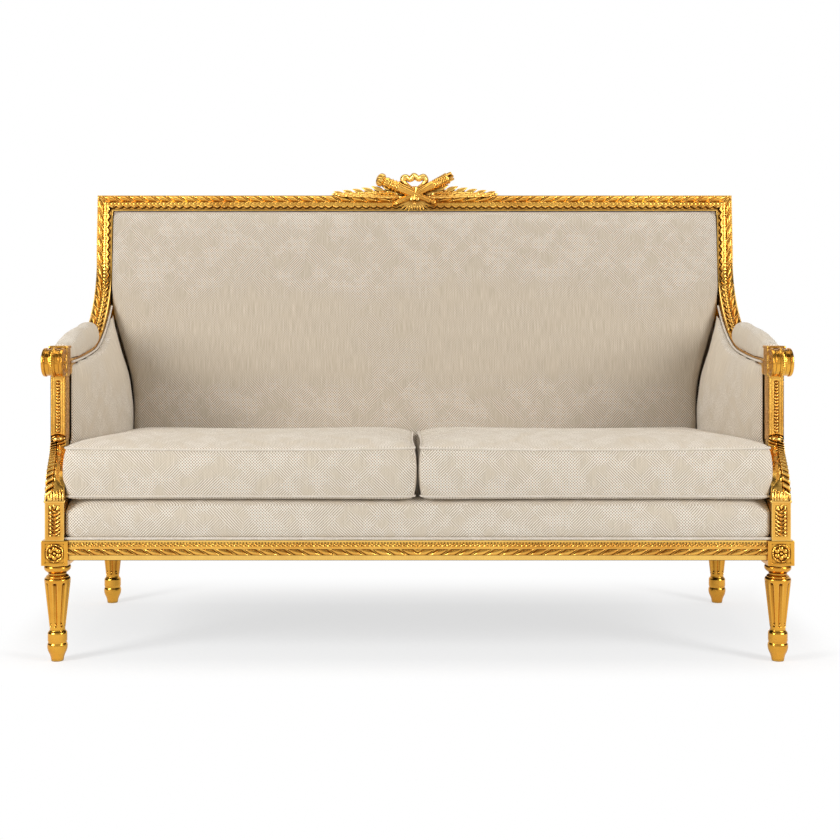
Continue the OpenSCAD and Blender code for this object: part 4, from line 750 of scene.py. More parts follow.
def frame_relief(along, across):
    """Height of the back frame's carving in metres, from its outer edge inwards: twist,
    leaves whose tips point inwards between drilled eyes, and the rounded lip."""
    s, w = np.broadcast_arrays(along * 1000, across * 1000)
    h = np.where(w < 2.2, 0.4, np.where(w < 16, 0.1, 0.3))
    twist, inside = ribbon_twist(s, w, 8.6, 6.6, 33.5)
    h = np.where(inside, 0.1 + 5.6 * twist, h)
    f = np.abs(2 * ((s / 19.3) % 1) - 1)
    tip = 33.6 - 5.2 * f ** 1.3
    t = np.clip((w - 16) / (tip - 16), 0, 1)
    body = 1.0 + 2.0 * np.sin(np.pi * np.clip(t, 0, 0.93) * 0.72) * (1 - 0.35 * f ** 2)
    loops = 1.1 * np.abs(np.cos(np.pi * s / 9.65)) * np.sin(np.pi * np.clip((w - 16.5) / 8.5, 0, 1))
    ridge = 1.5 * np.exp(-((tip - w - 2.2) / 1.3) ** 2)
    h = np.where((w > 16) & (w < 35), np.where(w < tip, body + loops + ridge, -1.2), h)
    h = np.where((w > 35) & (w < 37.3), -0.4, h)
    lip_t = np.clip((w - 37.3) / 3.7, 0, 1)
    h = np.where(w >= 37.3, 4.5 * (1 - (2 * lip_t - 1) ** 6 * 0.35), h)
    return h / 1000


def frame_face(x, d, z):
    """World points from arrays of X, depth behind the blocks and height."""
    return np.stack(np.broadcast_arrays(x, front_y + d, z), -1)


def stile():
    """Face carried up the sweep and the raked straight, its top cut to the mitre line."""
    w = frame_columns[None, :]
    t = np.linspace(0.3005, 1, 300)
    at, to = curve_point(sweep_line, t)
    normal = left_of(to)
    low = frame_face(outer_x + flare * t[:, None] ** 2 - w, at[:, 0:1] + 0 * w, at[:, 1:2] + 0 * w)
    run = np.concatenate([[0], np.cumsum(np.linalg.norm(np.diff(at, axis=0), axis=1))])
    share = np.linspace(0, 1, 130)[1:, None]
    climb = share * (stile_run - w - 0.0001)
    end = top_edge - up_back * stile_run
    high = frame_face(top_out - w, end[0] + up_back[0] * climb, end[1] + up_back[1] * climb)
    base = np.concatenate([low, high])
    along = np.concatenate([run[:, None] + 0 * w, run[-1] + climb])
    turn = np.concatenate([normal, np.tile(out_back, (len(share), 1))])
    outs = np.stack([0 * turn[:, 0], turn[:, 0], turn[:, 1]], -1)[:, None, :]
    rise = np.concatenate([smooth_step((t - 0.27) / 0.05), np.ones(len(share))])[:, None]
    back = base[:, [-1, 0]] - outs * frame_t
    return moulded(base, outs, frame_relief(along, w) * rise, back)


gilt_pair("back_stile_carved_", "back_stile_", stile(), carved, 1.3)

share = np.linspace(-1, 1, 1250)[:, None]
w = frame_columns[None, :]
x = share * (top_out - w)
base = frame_face(x, top_edge[0] - up_back[0] * w, top_edge[1] - up_back[1] * w)
outs = np.array([0, out_back[0], out_back[1]])
top_rail = moulded(base, outs, frame_relief(np.abs(x), w), base[:, [-1, 0]] - outs * frame_t)
make_piece("back_top_rail_carved", *top_rail, carved, "gilt", ("back_top_rail",), carving=1.3)

# ---- Crest carving ----
# A quiver crossed over a torch, tied with a three-lobed bow over a radiating leaf, between
# two laurel branches. Carved limewood glued over the middle of the top rail and gilded.
rail_edge_d = 0.65014


def on_crest(points):
    """Points given in mm across, outwards and up from the top rail's upper front edge."""
    x, out, up = points[..., 0] / 1000, points[..., 1] / 1000, points[..., 2] / 1000
    d = rail_edge_d - out * math.cos(rake) + up * math.sin(rake)
    z = back_h + out * math.sin(rake) + up * math.cos(rake)
    return np.stack([x, front_y + d, z], -1)


crossing = np.array([0, 10.85, 2.0])


def spun(lean, side, places, radii, relief, columns=40):
    """Round piece on an axis through the crossing that leans up to one side. Its radius in
    mm runs through the given places, and relief(s, turn) is added to it."""
    s = np.unique(np.concatenate([places, np.linspace(places[0], places[-1], 90)]))
    r = np.interp(s, places, radii)[:, None]
    turn = np.linspace(0, 2 * np.pi, columns, endpoint=False)[None, :]
    r = np.maximum(r + relief(s[:, None], turn) * np.clip(r / 5 - 0.4, 0, 1), 0.4)
    along = np.array([side * math.cos(lean), 0, math.sin(lean)])
    square = np.array([-side * math.sin(lean), 0, math.cos(lean)])
    ring = np.cos(turn)[..., None] * square + np.sin(turn)[..., None] * np.array([0, 1, 0])
    middle = crossing + s[:, None, None] * along
    return capped_tube(on_crest(middle + r[..., None] * ring))


def ribbed(count, depth, twist=0.0):
    """Relief of rounded ribs along a round piece, slanted by a twist per mm."""
    return lambda s, turn: depth * (np.abs(np.cos(0.5 * count * turn + twist * s)) - 0.6)


def swept(path, half_out, half_in_plane, ribs=0.0, columns=16):
    """Tube along points (n, 3) in mm that lie in the crest's plane, with its half sizes
    outwards and across given for each point, and four shallow ribs."""
    path = np.asarray(path, float)
    steps = np.linspace(0, len(path) - 1, 8 * len(path))
    whole = np.minimum(steps.astype(int), len(path) - 2)
    f = (steps - whole)[:, None]
    before, after = np.maximum(whole - 1, 0), np.minimum(whole + 2, len(path) - 1)
    p0, p1, p2, p3 = path[before], path[whole], path[whole + 1], path[after]
    at = 0.5 * (2 * p1 + (p2 - p0) * f + (2 * p0 - 5 * p1 + 4 * p2 - p3) * f ** 2
                + (3 * p1 - p0 - 3 * p2 + p3) * f ** 3)
    size = [np.interp(steps, np.arange(len(path)), half)[:, None, None] for half in (half_out, half_in_plane)]
    to = np.gradient(at, axis=0)
    to[:, 1] = 0
    to /= np.linalg.norm(to, axis=1)[:, None]
    side = np.stack([-to[:, 2], np.zeros(len(to)), to[:, 0]], 1)[:, None, :]
    turn = np.linspace(0, 2 * np.pi, columns, endpoint=False)[None, :, None]
    swell = 1 + ribs * np.cos(5 * turn)
    ring = np.sin(turn) * size[0] * swell * np.array([0, 1, 0]) + np.cos(turn) * size[1] * swell * side
    return capped_tube(on_crest(at[:, None, :] + ring))


def laurel_leaf(x, out, up, lean, length, wide, thick, side=1):
    """Pointed leaf with a sunk midrib, lying along the rail and leaning up to its tip."""
    s = np.linspace(0, 1, 9)[:, None]
    half = np.sin(np.pi * np.clip(s, 0.04, 0.985) ** 0.75) ** 0.8
    turn = np.linspace(0, 2 * np.pi, 12, endpoint=False)[None, :]
    across = np.cos(turn) * half * wide / 2
    front = np.sin(turn) * half * thick / 2 - 0.3 * thick * np.exp(-(np.cos(turn) / 0.25) ** 2) * half
    front = front + 0.25 * thick * np.sin(np.pi * s)
    run = s * length + 0 * turn
    points = np.stack([side * (x + run * math.cos(lean) - across * math.sin(lean)), out + front,
                       up + run * math.sin(lean) + across * math.cos(lean)], -1)
    return capped_tube(on_crest(points))


def arrow_end(ring_turn, ring_r, tip):
    """Feathered end of an arrow in the quiver: three notched vanes round a shaft."""
    s = np.linspace(90, tip, 13)[:, None]
    turn = np.linspace(0, 2 * np.pi, 18, endpoint=False)[None, :]
    notch = 1 - 0.3 * ((s / 3.1) % 1)
    r = 1.1 + 3.4 * np.clip(np.cos(3 * turn + ring_turn), 0, 1) ** 1.2 * notch * np.clip((tip + 1 - s) / 3, 0.3, 1)
    lean = math.radians(26)
    along, square = np.array([math.cos(lean), 0, math.sin(lean)]), np.array([-math.sin(lean), 0, math.cos(lean)])
    outward_axis = np.array([0, 1, 0])
    middle = (crossing + s[..., None] * along
              + ring_r * (math.cos(ring_turn) * square + math.sin(ring_turn) * outward_axis))
    ring = np.cos(turn)[..., None] * square + np.sin(turn)[..., None] * outward_axis
    return capped_tube(on_crest(middle + r[..., None] * ring))


quiver = spun(
    math.radians(26), 1,
    [-62, -61, -57, -53.5, -51, -48, -46, -20, 0, 25, 50, 55, 56.5, 60.5, 62, 65, 66.5, 70.5, 72, 75, 76.5, 80.5,
     82, 85, 86.5, 93, 96, 97, 97.5],
    [0.6, 3.0, 5.6, 6.6, 5.4, 5.6, 6.4, 7.4, 8.6, 10.4, 12.0, 12.4, 12.9, 13.2, 13.3, 13.5, 13.6, 13.9, 14.0, 14.2,
     14.3, 14.5, 14.6, 14.8, 14.9, 15.2, 15.0, 13.0, 9.0],
    lambda s, turn: np.where(s < 54, ribbed(7, 1.5, 0.03)(s, turn), 0.9 * np.cos(2 * np.pi * s / 5.2) - 0.4))
torch = spun(
    math.radians(23), -1,
    [-59, -58, -56, -52, -50, -49, -46, -44, -20, 0, 30, 43, 45, 47, 50, 52, 54, 56, 58, 60, 63, 65, 67, 70, 75, 79,
     82, 85, 86],
    [2.0, 5.4, 6.4, 7.0, 7.0, 5.4, 5.4, 7.2, 8.0, 11.2, 13.0, 13.6, 13.8, 15.4, 15.4, 12.8, 12.8, 14.8, 14.8, 12.4,
     12.4, 14.2, 14.2, 11.8, 13.4, 13.6, 11.8, 10.8, 11.0],
    lambda s, turn: np.where((s > -44) & (s < 44), ribbed(8, 1.8)(s, turn), 0.4 * np.cos(10 * turn)))
bloom = spun(
    math.radians(23), -1, [84, 86, 89, 93, 98, 102, 105, 107], [9.0, 13.5, 16.6, 17.4, 17.0, 14.6, 10.0, 3.0],
    lambda s, turn: 2.6 * (np.abs(np.cos(3.5 * turn + 0.02 * (s - 84))) ** 0.7 - 0.75))
arrows = [arrow_end(math.radians(52 * k), 8.4, 110 - 5 * (k % 2)) for k in range(7)] + [arrow_end(0.0, 0.0, 111)]
bow_path = np.array([
    (-3, 8, 16), (-13, 9, 21), (-23, 9, 27.5), (-32, 10, 34), (-31, 10.5, 43), (-23, 10.5, 44), (-15.5, 10, 39.5),
    (-9, 10.5, 42), (-2, 11, 47.5), (5, 10.5, 45), (11.5, 10, 40.5), (18, 10.5, 44), (26, 10.5, 45.5), (31, 10, 37),
    (24, 9, 28), (13, 9, 21), (3, 8, 16)])
bow_half = [3.2, 4.0, 5.0, 7.4, 9.0, 9.0, 6.2, 7.8, 9.6, 7.8, 6.2, 8.2, 9.0, 7.6, 5.0, 4.0, 3.2]
bow = swept(bow_path * [0.9, 1, 1], np.array(bow_half) * 1.15, bow_half, 0.06)
knot_half = [3.2, 4.6, 4.4, 4.6, 3.2]
knot = swept([(-8, 12, 16.5), (-4, 13, 17.2), (0, 13.4, 17.4), (4, 13, 17.2), (8, 12, 16.5)],
             knot_half, knot_half, 0.08)


def hanging_ties():
    """Gathered ribbon ends that drape over the crossing: a ribbed bundle, wide at its foot."""
    z = np.linspace(17, -13, 22)[:, None]
    low = (17 - z) / 30
    turn = np.linspace(0, 2 * np.pi, 48, endpoint=False)[None, :]
    wide = 7.6 - 2.6 * np.sin(np.pi * np.clip(low * 1.5, 0, 1)) + 3.6 * low ** 1.6
    folds = 1 + 0.11 * np.cos(11 * turn) + 0.04 * np.cos(4 * turn)
    hem = 0.6 * np.cos(11 * turn) * (low > 0.9)
    points = np.stack([wide * np.cos(turn) * folds, 13.5 + (8.6 - 2.2 * low) * np.sin(turn) * folds,
                       z + hem], -1)
    return capped_tube(on_crest(points))


def spray():
    """Leaf that radiates over the rail's face below the crossing, as thirteen blades."""
    return [laurel_leaf(6 * math.sin(turn), 5.0, -10 - 4 * math.cos(turn), turn - math.pi / 2,
                        24 + 24 * abs(math.sin(turn)) ** 1.3, 7.5, 4.6)
            for turn in np.radians(np.linspace(-78, 78, 13))]


def bed(x0, x1, high0, high1, deep0, deep1, side=1):
    """Low rounded bed under the leaves along the rail's top edge."""
    t = np.linspace(0, 1, 24)[:, None]
    turn = np.linspace(0, 2 * np.pi, 16, endpoint=False)[None, :]
    high, deep = high0 + (high1 - high0) * t, deep0 + (deep1 - deep0) * t
    lumps = 1 + 0.14 * np.sin(t * (x1 - x0) / 2.4 + 3 * turn)
    points = np.stack([side * (x0 + (x1 - x0) * t + 0 * turn), -6 + deep * np.sin(turn) * lumps,
                       -1.0 + high * np.cos(turn) * lumps], -1)
    return capped_tube(on_crest(points))


make_piece("crest_trophy_carved",
           *joined(quiver, torch, bloom, *arrows, bow, knot, hanging_ties(), *spray(), bed(-50, 50, 9, 9, 9, 9)),
           carved, "gilt", replaced=("crest_trophy",), crease=60, carving=1.2)
leaf_rows = ((-6.5, 8.8, 3, 34, 8, 34), (2.4, 6.5, 11, 38, 8, 34), (11.0, 1.5, 27, 34, 6, 42),
             (6.0, -3.0, 15, 34, 7, 36))
for tag, side in hands:
    leaves = []
    for row, (up, out, lean, first, count, long) in enumerate(leaf_rows):
        for k in range(count):
            t = (k + 0.33 * row) / (count + 0.4)
            small = 1 - 0.4 * t
            leaves.append(laurel_leaf(first + (204 - first) * t, out * (1 - 0.35 * t), up * (1 - 0.82 * t),
                                      math.radians(lean * (1 - 0.5 * t)), long * small, 0.36 * long * small,
                                      8 * small, side))
    leaves.append(laurel_leaf(24, 0.5, 0.5, math.radians(24), 58, 18, 9, side))
    make_piece("crest_branch_carved_" + tag, *joined(*leaves, bed(46, 222, 8, 2.2, 9, 4, side)),
               carved, "gilt", replaced=("crest_branch_" + tag,), crease=60, carving=1.2)


# ---- Hidden frame ----
# Plain planed beech under the upholstery: brace, glue blocks, tacking rails, lower back
# rail and dowels, with steel bolts. The back posts are gilt outside and stay as built.
def bands(tree, place, way, scale, **more):
    """Value of soft stripes across one direction, X or Y."""
    return add_node(tree, "ShaderNodeTexWave", {"bands_direction": way},
                    {"Vector": place, "Scale": scale, **more}).outputs["Fac"]


def wood_grain_group():
    """Pale wood: rings from a stretched wave, fine pores from a stretched noise."""
    group, given = shader_group("planed beech", {"Vector": "Vector"}, {"Color": "Color", "Height": "Float"})
    long = add_node(group, "ShaderNodeMapping", None,
                    {"Vector": given["Vector"], "Scale": (6.0, 60.0, 60.0)}).outputs[0]
    rings = bands(group, long, "X", 0.6, Distortion=5.0, Detail=3.0)
    pores = noise(group, long, 12.0, 3.0)
    tone = blend_colours(group, rings, srgb(206, 170, 128), srgb(184, 142, 100))
    tone = blend_colours(group, ramp_value(group, pores, 0.55, 0.75, 0.0, 0.5), tone, srgb(150, 108, 72))
    add_node(group, "NodeGroupOutput", None, {0: tone, 1: pores})
    return group


beech, tree, shader, place = plain_finish("planed beech", 0.6)
grained = add_node(tree, "ShaderNodeGroup", {"node_tree": wood_grain_group()}, {"Vector": place}).outputs
dress(tree, shader, grained["Color"], grained["Height"], 0.2, 0.0005)

steel, tree, shader, place = plain_finish("zinc plated steel", 0.35, 1.0)
mottle = blend_colours(tree, noise(tree, place, 160.0, 2.0), srgb(150, 152, 156), srgb(196, 196, 192))
tree.links.new(mottle, shader.inputs["Base Color"])


# ---- Straps, dust cover and zips ----
# Woven jute webbing tacked over the rebates of the seat frame and across the back, a black
# gauze stapled under the seat, and a closed zip in the rear border of each cushion.
def woven_finish(name, roughness, threads, sway, dark, light, strength, distance):
    """Plain weave: stripes one way times stripes the other way, dark in the gaps."""
    finish, tree, shader, place = plain_finish(name, roughness)
    woven = math_node(tree, "MULTIPLY", bands(tree, place, "X", threads, Distortion=sway),
                      bands(tree, place, "Y", threads, Distortion=sway))
    dress(tree, shader, blend_colours(tree, woven, dark, light), woven, strength, distance)
    return finish


webbing = woven_finish("jute webbing", 0.9, 160.0, 0.4, srgb(96, 76, 52), srgb(168, 140, 100), 0.5, 0.0008)
gauze = woven_finish("black gauze", 0.85, 300.0, 0.0, srgb(24, 23, 24), srgb(62, 58, 56), 0.4, 0.0004)

zipper, tree, shader, place = plain_finish("closed zip", 0.5)
teeth = bands(tree, place, "X", 200.0)
dress(tree, shader, blend_colours(tree, teeth, srgb(120, 106, 84), srgb(206, 194, 168)), teeth, 0.7, 0.001)

finishes = {"gilt": burnished, "beech": beech, "steel": steel, "webbing": webbing,
            "dust_cloth": gauze, "zip": zipper}
for row in frame["record"]["subparts"]:
    node = frame["nodes"][row["node"]]
    if row["material_slot"] in finishes:
        node.data.materials.clear()
        node.data.materials.append(finishes[row["material_slot"]])


# ---- Cloth ----
# Champagne jacquard: a beige ground with fine vertical threads and raised diagonal
# threads that run one way, the other way or both, and that fade in and out in long patches.
def jacquard_group():
    """Two families of diagonal lines, each faded by a slow noise that is stretched along its
    own lines. Cloth coordinates are in metres; the outputs are the colour and the height."""
    group, given = shader_group("champagne jacquard", {
        "Cloth": "Vector", "Ground": "Color", "Light": "Color", "Dark": "Color", "Pitch": "Float"},
        {"Color": "Color", "Height": "Float"})
    split = add_node(group, "ShaderNodeSeparateXYZ", None, {0: given["Cloth"]})
    drift = noise(group, given["Cloth"], 26.0, 2.0, True)
    sway = math_node(group, "MULTIPLY", math_node(group, "SUBTRACT", drift, 0.5), 0.003)
    plain = noise(group, given["Cloth"], 4.0, 1.0, True)
    calm = math_node(group, "ABSOLUTE", math_node(group, "SUBTRACT", split.outputs[1], 0.69))
    spread = math_node(group, "ADD", ramp_value(group, calm, 0.06, 0.2),
                       ramp_value(group, plain, 0.35, 0.7, 0.0, 0.5))
    shown = ramp_value(group, spread, 0.1, 0.9, 0.2, 1.0)
    raised, low, crossed = 0.0, 0.0, 1.0
    for sign, shift in ((1.0, 0.0), (-1.0, 3.7)):
        across = math_node(group, "MULTIPLY", split.outputs[0], sign)
        slant = math_node(group, "ADD", math_node(group, "ADD", across, split.outputs[1]), sway)
        along = math_node(group, "SUBTRACT", across, split.outputs[1])
        turn = math_node(group, "FRACT", math_node(group, "DIVIDE", slant, given["Pitch"]))
        line = math_node(group, "ABSOLUTE", math_node(group, "SUBTRACT", turn, 0.5))
        line = math_node(group, "MULTIPLY", line, 2.0)
        stretched = add_node(group, "ShaderNodeCombineXYZ", None,
                             {0: math_node(group, "MULTIPLY", slant, 22.0),
                              1: math_node(group, "MULTIPLY", along, 9.0), 2: shift}).outputs[0]
        cloud = noise(group, stretched, 1.0, 2.0)
        mask = math_node(group, "MULTIPLY", ramp_value(group, cloud, 0.42, 0.54, 0.2, 1.0), shown)
        up = math_node(group, "MULTIPLY", ramp_value(group, line, 0.55, 0.85), mask)
        down = math_node(group, "MULTIPLY", ramp_value(group, line, 0.5, 0.2), mask)
        crossed = math_node(group, "MULTIPLY", mask, crossed)
        raised = math_node(group, "MAXIMUM", up, raised)
        low = math_node(group, "MAXIMUM", down, low)
    fine = add_node(group, "ShaderNodeMapping", None,
                    {"Vector": given["Cloth"], "Scale": (620.0, 22.0, 1.0)}).outputs[0]
    strie = noise(group, fine, 1.0, 2.0, True)
    tone = blend_colours(group, ramp_value(group, strie, 0.42, 0.68, 0.0, 0.28), given["Ground"], given["Dark"])
    tone = blend_colours(group, math_node(group, "MULTIPLY", shown, 0.1), tone, given["Dark"])
    tone = blend_colours(group, math_node(group, "MULTIPLY", crossed, 0.35), tone, given["Dark"])
    tone = blend_colours(group, ramp_value(group, strie, 0.4, 0.28, 0.0, 0.26), tone, given["Light"])
    tone = blend_colours(group, math_node(group, "MULTIPLY", low, 0.9), tone, given["Dark"])
    tone = blend_colours(group, math_node(group, "MULTIPLY", raised, 0.95), tone, given["Light"])
    height = math_node(group, "ADD", raised, math_node(group, "MULTIPLY", strie, 0.35))
    add_node(group, "NodeGroupOutput", None, {0: tone, 1: height})
    return group


jacquard = jacquard_group()


def cloth_finish(name, ground, light, dark, pitch):
    """Matt woven cloth with a slight sheen, patterned on its own cloth coordinates."""
    finish, tree, shader, _ = plain_finish(name, 0.82)
    place = add_node(tree, "ShaderNodeUVMap", {"uv_map": "cloth"}).outputs[0]
    weave = add_node(tree, "ShaderNodeGroup", {"node_tree": jacquard},
                     {"Cloth": place, "Ground": ground, "Light": light, "Dark": dark, "Pitch": pitch}).outputs
    dress(tree, shader, weave["Color"], weave["Height"], 0.3, 0.0007)
    shader.inputs["Sheen Weight"].default_value = 0.08
    shader.inputs["Sheen Roughness"].default_value = 0.4
    shader.inputs["Specular IOR Level"].default_value = 0.25
    return finish


line_pitch, welt_pitch = 0.0062, 0.0034
upholstery = cloth_finish("champagne jacquard", srgb(208, 195, 175), srgb(240, 232, 219),
                          srgb(158, 143, 123), line_pitch)
# The back's cloth is the same jacquard with a darker ground and threads: painted shade for the back, which gets less
# light than the seat.
shaded_back_cloth = cloth_finish("champagne jacquard with painted shade for the back", srgb(191, 178, 159), srgb(226, 216, 202),
                          srgb(140, 126, 107), line_pitch)
piping = cloth_finish("champagne welt", srgb(214, 203, 186), srgb(242, 235, 224), srgb(170, 155, 136), welt_pitch)
# The back's welt is the same welt cloth made darker: painted shade for the welt inside the back frame's lip.
shaded_welt_cloth = cloth_finish("shaded welt", srgb(170, 156, 142), srgb(206, 194, 180), srgb(128, 114, 102), welt_pitch)


# ---- Stuffed pieces ----
# Foam and wadding under cloth. Each starts from the construction solid, is meshed evenly,
# blown up a little as cloth with its seams held, and kept within a few millimetres.
def mesh_points(mesh):
    """Points of a mesh as an array (n, 3)."""
    return read_rows(mesh.vertices, "co", 3)


def box_map(mesh):
    """Cloth coordinates in metres, laid flat on the side that each face looks to."""
    at = mesh_points(mesh)[read_rows(mesh.loops, "vertex_index", kind=np.int32).ravel()]
    sizes = read_rows(mesh.polygons, "loop_total", kind=np.int32).ravel()
    side = np.repeat(np.abs(read_rows(mesh.polygons, "normal", 3)).argmax(1), sizes)
    flat = np.where((side == 0)[:, None], at[:, [1, 2]],
                    np.where((side == 1)[:, None], at[:, [0, 2]], at[:, [0, 1]]))
    mesh.uv_layers.new(name="cloth").data.foreach_set("uv", flat.astype(np.float32).ravel())


def even_mesh(node, voxel, grow):
    """Copy of a construction solid, merged, remeshed in even squares and grown along its
    normals by what the even mesh has rounded away."""
    work = put("working copy", frame["nodes"][node].data.copy())
    weld = work.modifiers.new("weld", "WELD")
    weld.merge_threshold = 1e-5
    remesh = work.modifiers.new("remesh", "REMESH")
    remesh.mode = "VOXEL"
    remesh.voxel_size = voxel
    relax = work.modifiers.new("relax", "SMOOTH")
    relax.iterations = 1
    relax.factor = 0.5
    rounding = work.modifiers.new("rounding", "DISPLACE")
    rounding.strength = grow
    rounding.mid_level = 0
    graph = bpy.context.evaluated_depsgraph_get()
    mesh = bpy.data.meshes.new_from_object(work.evaluated_get(graph))
    bpy.data.objects.remove(work)
    return mesh


def stuffed(name, node, voxel, held, cap, body, grow=0.0, settle=None, cloth=upholstery):
    """Pad made from a node: an even mesh swells as cloth for 20 frames. Held gives each
    point's hold from 0 to 1 from its place, cap is how far a point may move, and settle
    moves the points to their last places."""
    mesh = even_mesh(node, voxel, grow)
    start = mesh_points(mesh)
    work = put("swelling", mesh.copy())
    group = work.vertex_groups.new(name="held")
    hold = held(start)
    for level in np.unique(np.round(hold, 1)):
        group.add(np.nonzero(np.round(hold, 1) == level)[0].tolist(), float(level), "REPLACE")
    sim = work.modifiers.new("cloth", "CLOTH")
    for key, value in {"quality": 6, "mass": 0.25, "tension_stiffness": 12, "compression_stiffness": 12,
                       "bending_stiffness": 1.5, "use_pressure": True, "uniform_pressure_force": 4.0,
                       "vertex_group_mass": "held"}.items():
        setattr(sim.settings, key, value)
    sim.settings.effector_weights.gravity = 0
    sim.collision_settings.use_collision = False
    scene = bpy.context.scene
    for number in range(1, 21):
        scene.frame_set(number)
    graph = bpy.context.evaluated_depsgraph_get()
    swollen = mesh_points(work.evaluated_get(graph).to_mesh())
    scene.frame_set(1)
    bpy.data.objects.remove(work)
    move = swollen - start
    length = np.linalg.norm(move, axis=1)[:, None]
    start = start + move * np.tanh(length / cap) * cap / np.maximum(length, 1e-9)
    if settle:
        start = settle(start)
    mesh.vertices.foreach_set("co", start.ravel())
    mesh.update()
    mesh.polygons.foreach_set("use_smooth", np.ones(len(mesh.polygons), bool))
    box_map(mesh)
    mesh.materials.clear()
    mesh.materials.append(cloth)
    piece = put(name, mesh)
    soften = piece.modifiers.new("soften", "SUBSURF")
    soften.levels = soften.render_levels = 1
    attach(piece, body)
    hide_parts(node)
    return piece


welt_r = 0.0026


def cord(path, radius, plane, closed=False):
    """Piping: a round cord along points (n, 3) with its cloth wound round it. Plane is the
    direction that stays square to the cord."""
    path = np.asarray(path, float)
    to = np.roll(path, -1, 0) - np.roll(path, 1, 0)
    if not closed:
        to[0], to[-1] = path[1] - path[0], path[-1] - path[-2]
    to /= np.linalg.norm(to, axis=1)[:, None]
    side = np.cross(to, np.broadcast_to(plane, path.shape))
    side /= np.linalg.norm(side, axis=1)[:, None]
    rise = np.cross(side, to)
    turn = np.linspace(0, 2 * np.pi, 12, endpoint=False)[None, :, None]
    rings = path[:, None, :] + radius * (np.cos(turn) * side[:, None, :] + np.sin(turn) * rise[:, None, :])
    run = np.concatenate([[0], np.cumsum(np.linalg.norm(np.diff(path, axis=0), axis=1))])
    wound = np.stack(np.broadcast_arrays(run[:, None], turn[..., 0] * radius), -1).reshape(-1, 2)
    if closed:
        points, faces = rings.reshape(-1, 3), [np.concatenate([grid_faces(len(path), 12), last_band(len(path), 12)])]
    else:
        points, faces = capped_tube(rings)
        wound = np.concatenate([wound, wound[:1], wound[-1:]])
    return points, faces, wound


def last_band(rows, columns):
    """Faces between the last and the first ring of a closed cord."""
    c = np.arange(columns)
    n = (c + 1) % columns
    last = (rows - 1) * columns
    return np.stack([last + c, last + n, n, c], 1)


def near_to(value, target, reach):
    """1 at a target, falling smoothly to 0 at a reach from it."""
    return 1 - smooth_step(np.abs(value - target) / reach)


# ---- Seat cushions ----
# Two loose box cushions: foam in a cloth cover with a piped seam above and below its border,
# which swells a little, and a crowned top that slopes back. A zip closes the rear border.
cushion_floor, lower_seam, upper_seam = 0.3473, 0.3573, 0.4548
cushion_front, cushion_back, cushion_slope = -0.333, 0.1398, 0.09


def cushion_height(points):
    """Height over the deck as it would be at the cushion's front, before it slopes back."""
    back = (points[:, 1] - cushion_front) / (cushion_back - cushion_front)
    return cushion_floor + (points[:, 2] - cushion_floor) / (1 - cushion_slope * back)


def cushion_hold(points):
    """Held along both seams and underneath."""
    z = cushion_height(points)
    inset = np.minimum(points[:, 1] - cushion_front, cushion_back - points[:, 1])
    edge = np.minimum(inset, np.minimum(np.abs(points[:, 0]) - 0.0075, 0.748 - np.abs(points[:, 0])))
    seam = np.maximum(near_to(z, lower_seam, 0.009), near_to(z, upper_seam, 0.009)) * (edge < 0.02)
    return np.clip(np.maximum(seam, z < lower_seam), 0, 1)


def seat_side(y):
    """Half-width between the inside arms at the seams, narrower towards the back."""
    return np.minimum(0.74815, 0.7514 - 0.0489 * np.clip((y - front_y - 0.146) / 0.3368, 0, 1))


def cushion_sag(points):
    """A soft cushion's upper seam dips in its middle by 2 mm, its lower seam hangs 3 mm low,
    and near the front its outer side spreads by 7 mm over the support beside it."""
    across = np.clip((np.abs(points[:, 0]) - 0.3778) / 0.37, -1, 1)
    rise = np.clip((points[:, 2] - lower_seam) / (upper_seam - lower_seam), 0, 1)
    moved = points.copy()
    moved[:, 2] += 0.002 * (across ** 2 * 2 - 1) * rise - 0.003 * np.exp(-((points[:, 2] - lower_seam) / 0.012) ** 2)
    spread = smooth_step((across - 0.2) / 0.7) * (1 - smooth_step((points[:, 1] - cushion_front - 0.05) / 0.25))
    moved[:, 0] += np.sign(points[:, 0]) * 0.0065 * spread * (points[:, 2] > cushion_floor + 0.002)
    return moved


def settled(points):
    """The sag, with the cushion kept on its side of the gap between the two."""
    side = np.sign(points[:, 0].mean())
    points = cushion_sag(points)
    points[:, 0] = side * np.maximum(side * points[:, 0], 0.0006)
    points[:, 2] = np.maximum(points[:, 2], cushion_floor)
    return points


def seam_line(side, height):
    """Outline of a cushion at a seam: a rectangle with round corners and sides drawn in."""
    rx, ry, steps, runs = 0.02 / 0.74815, 0.02 / 0.4728, 9, 29
    turn = np.linspace(0, np.pi / 2, steps)
    rise, fall = np.sin(turn), np.cos(turn)
    t = np.linspace(0, 1, runs + 2)[1:-1]
    none, bow, flat = np.zeros(steps), np.sin(np.pi * t), np.zeros(runs)
    qx = np.concatenate([1 - rx + rx * rise, flat + 1, 1 - rx + rx * fall, 1 - rx - (1 - 2 * rx) * t,
                         rx - rx * rise, flat, rx - rx * fall, rx + (1 - 2 * rx) * t])
    qy = np.concatenate([ry - ry * fall, ry + (1 - 2 * ry) * t, 1 - ry + ry * rise, flat + 1,
                         1 - ry + ry * fall, 1 - ry - (1 - 2 * ry) * t, ry - ry * rise, flat])
    in_x = np.concatenate([none, -bow, none, flat, none, bow, none, flat])
    in_y = np.concatenate([none, flat, none, -bow, none, flat, none, bow])
    y = cushion_front - 0.001 + qy * (cushion_back - cushion_front + 0.002)
    x = 0.0065 + qx * (seat_side(y) + 0.001 - 0.0065) + 0.004 * in_x
    z = cushion_floor + (height - cushion_floor) * (1 - cushion_slope * qy)
    return cushion_sag(np.stack([side * x, y + 0.004 * in_y, z], 1))


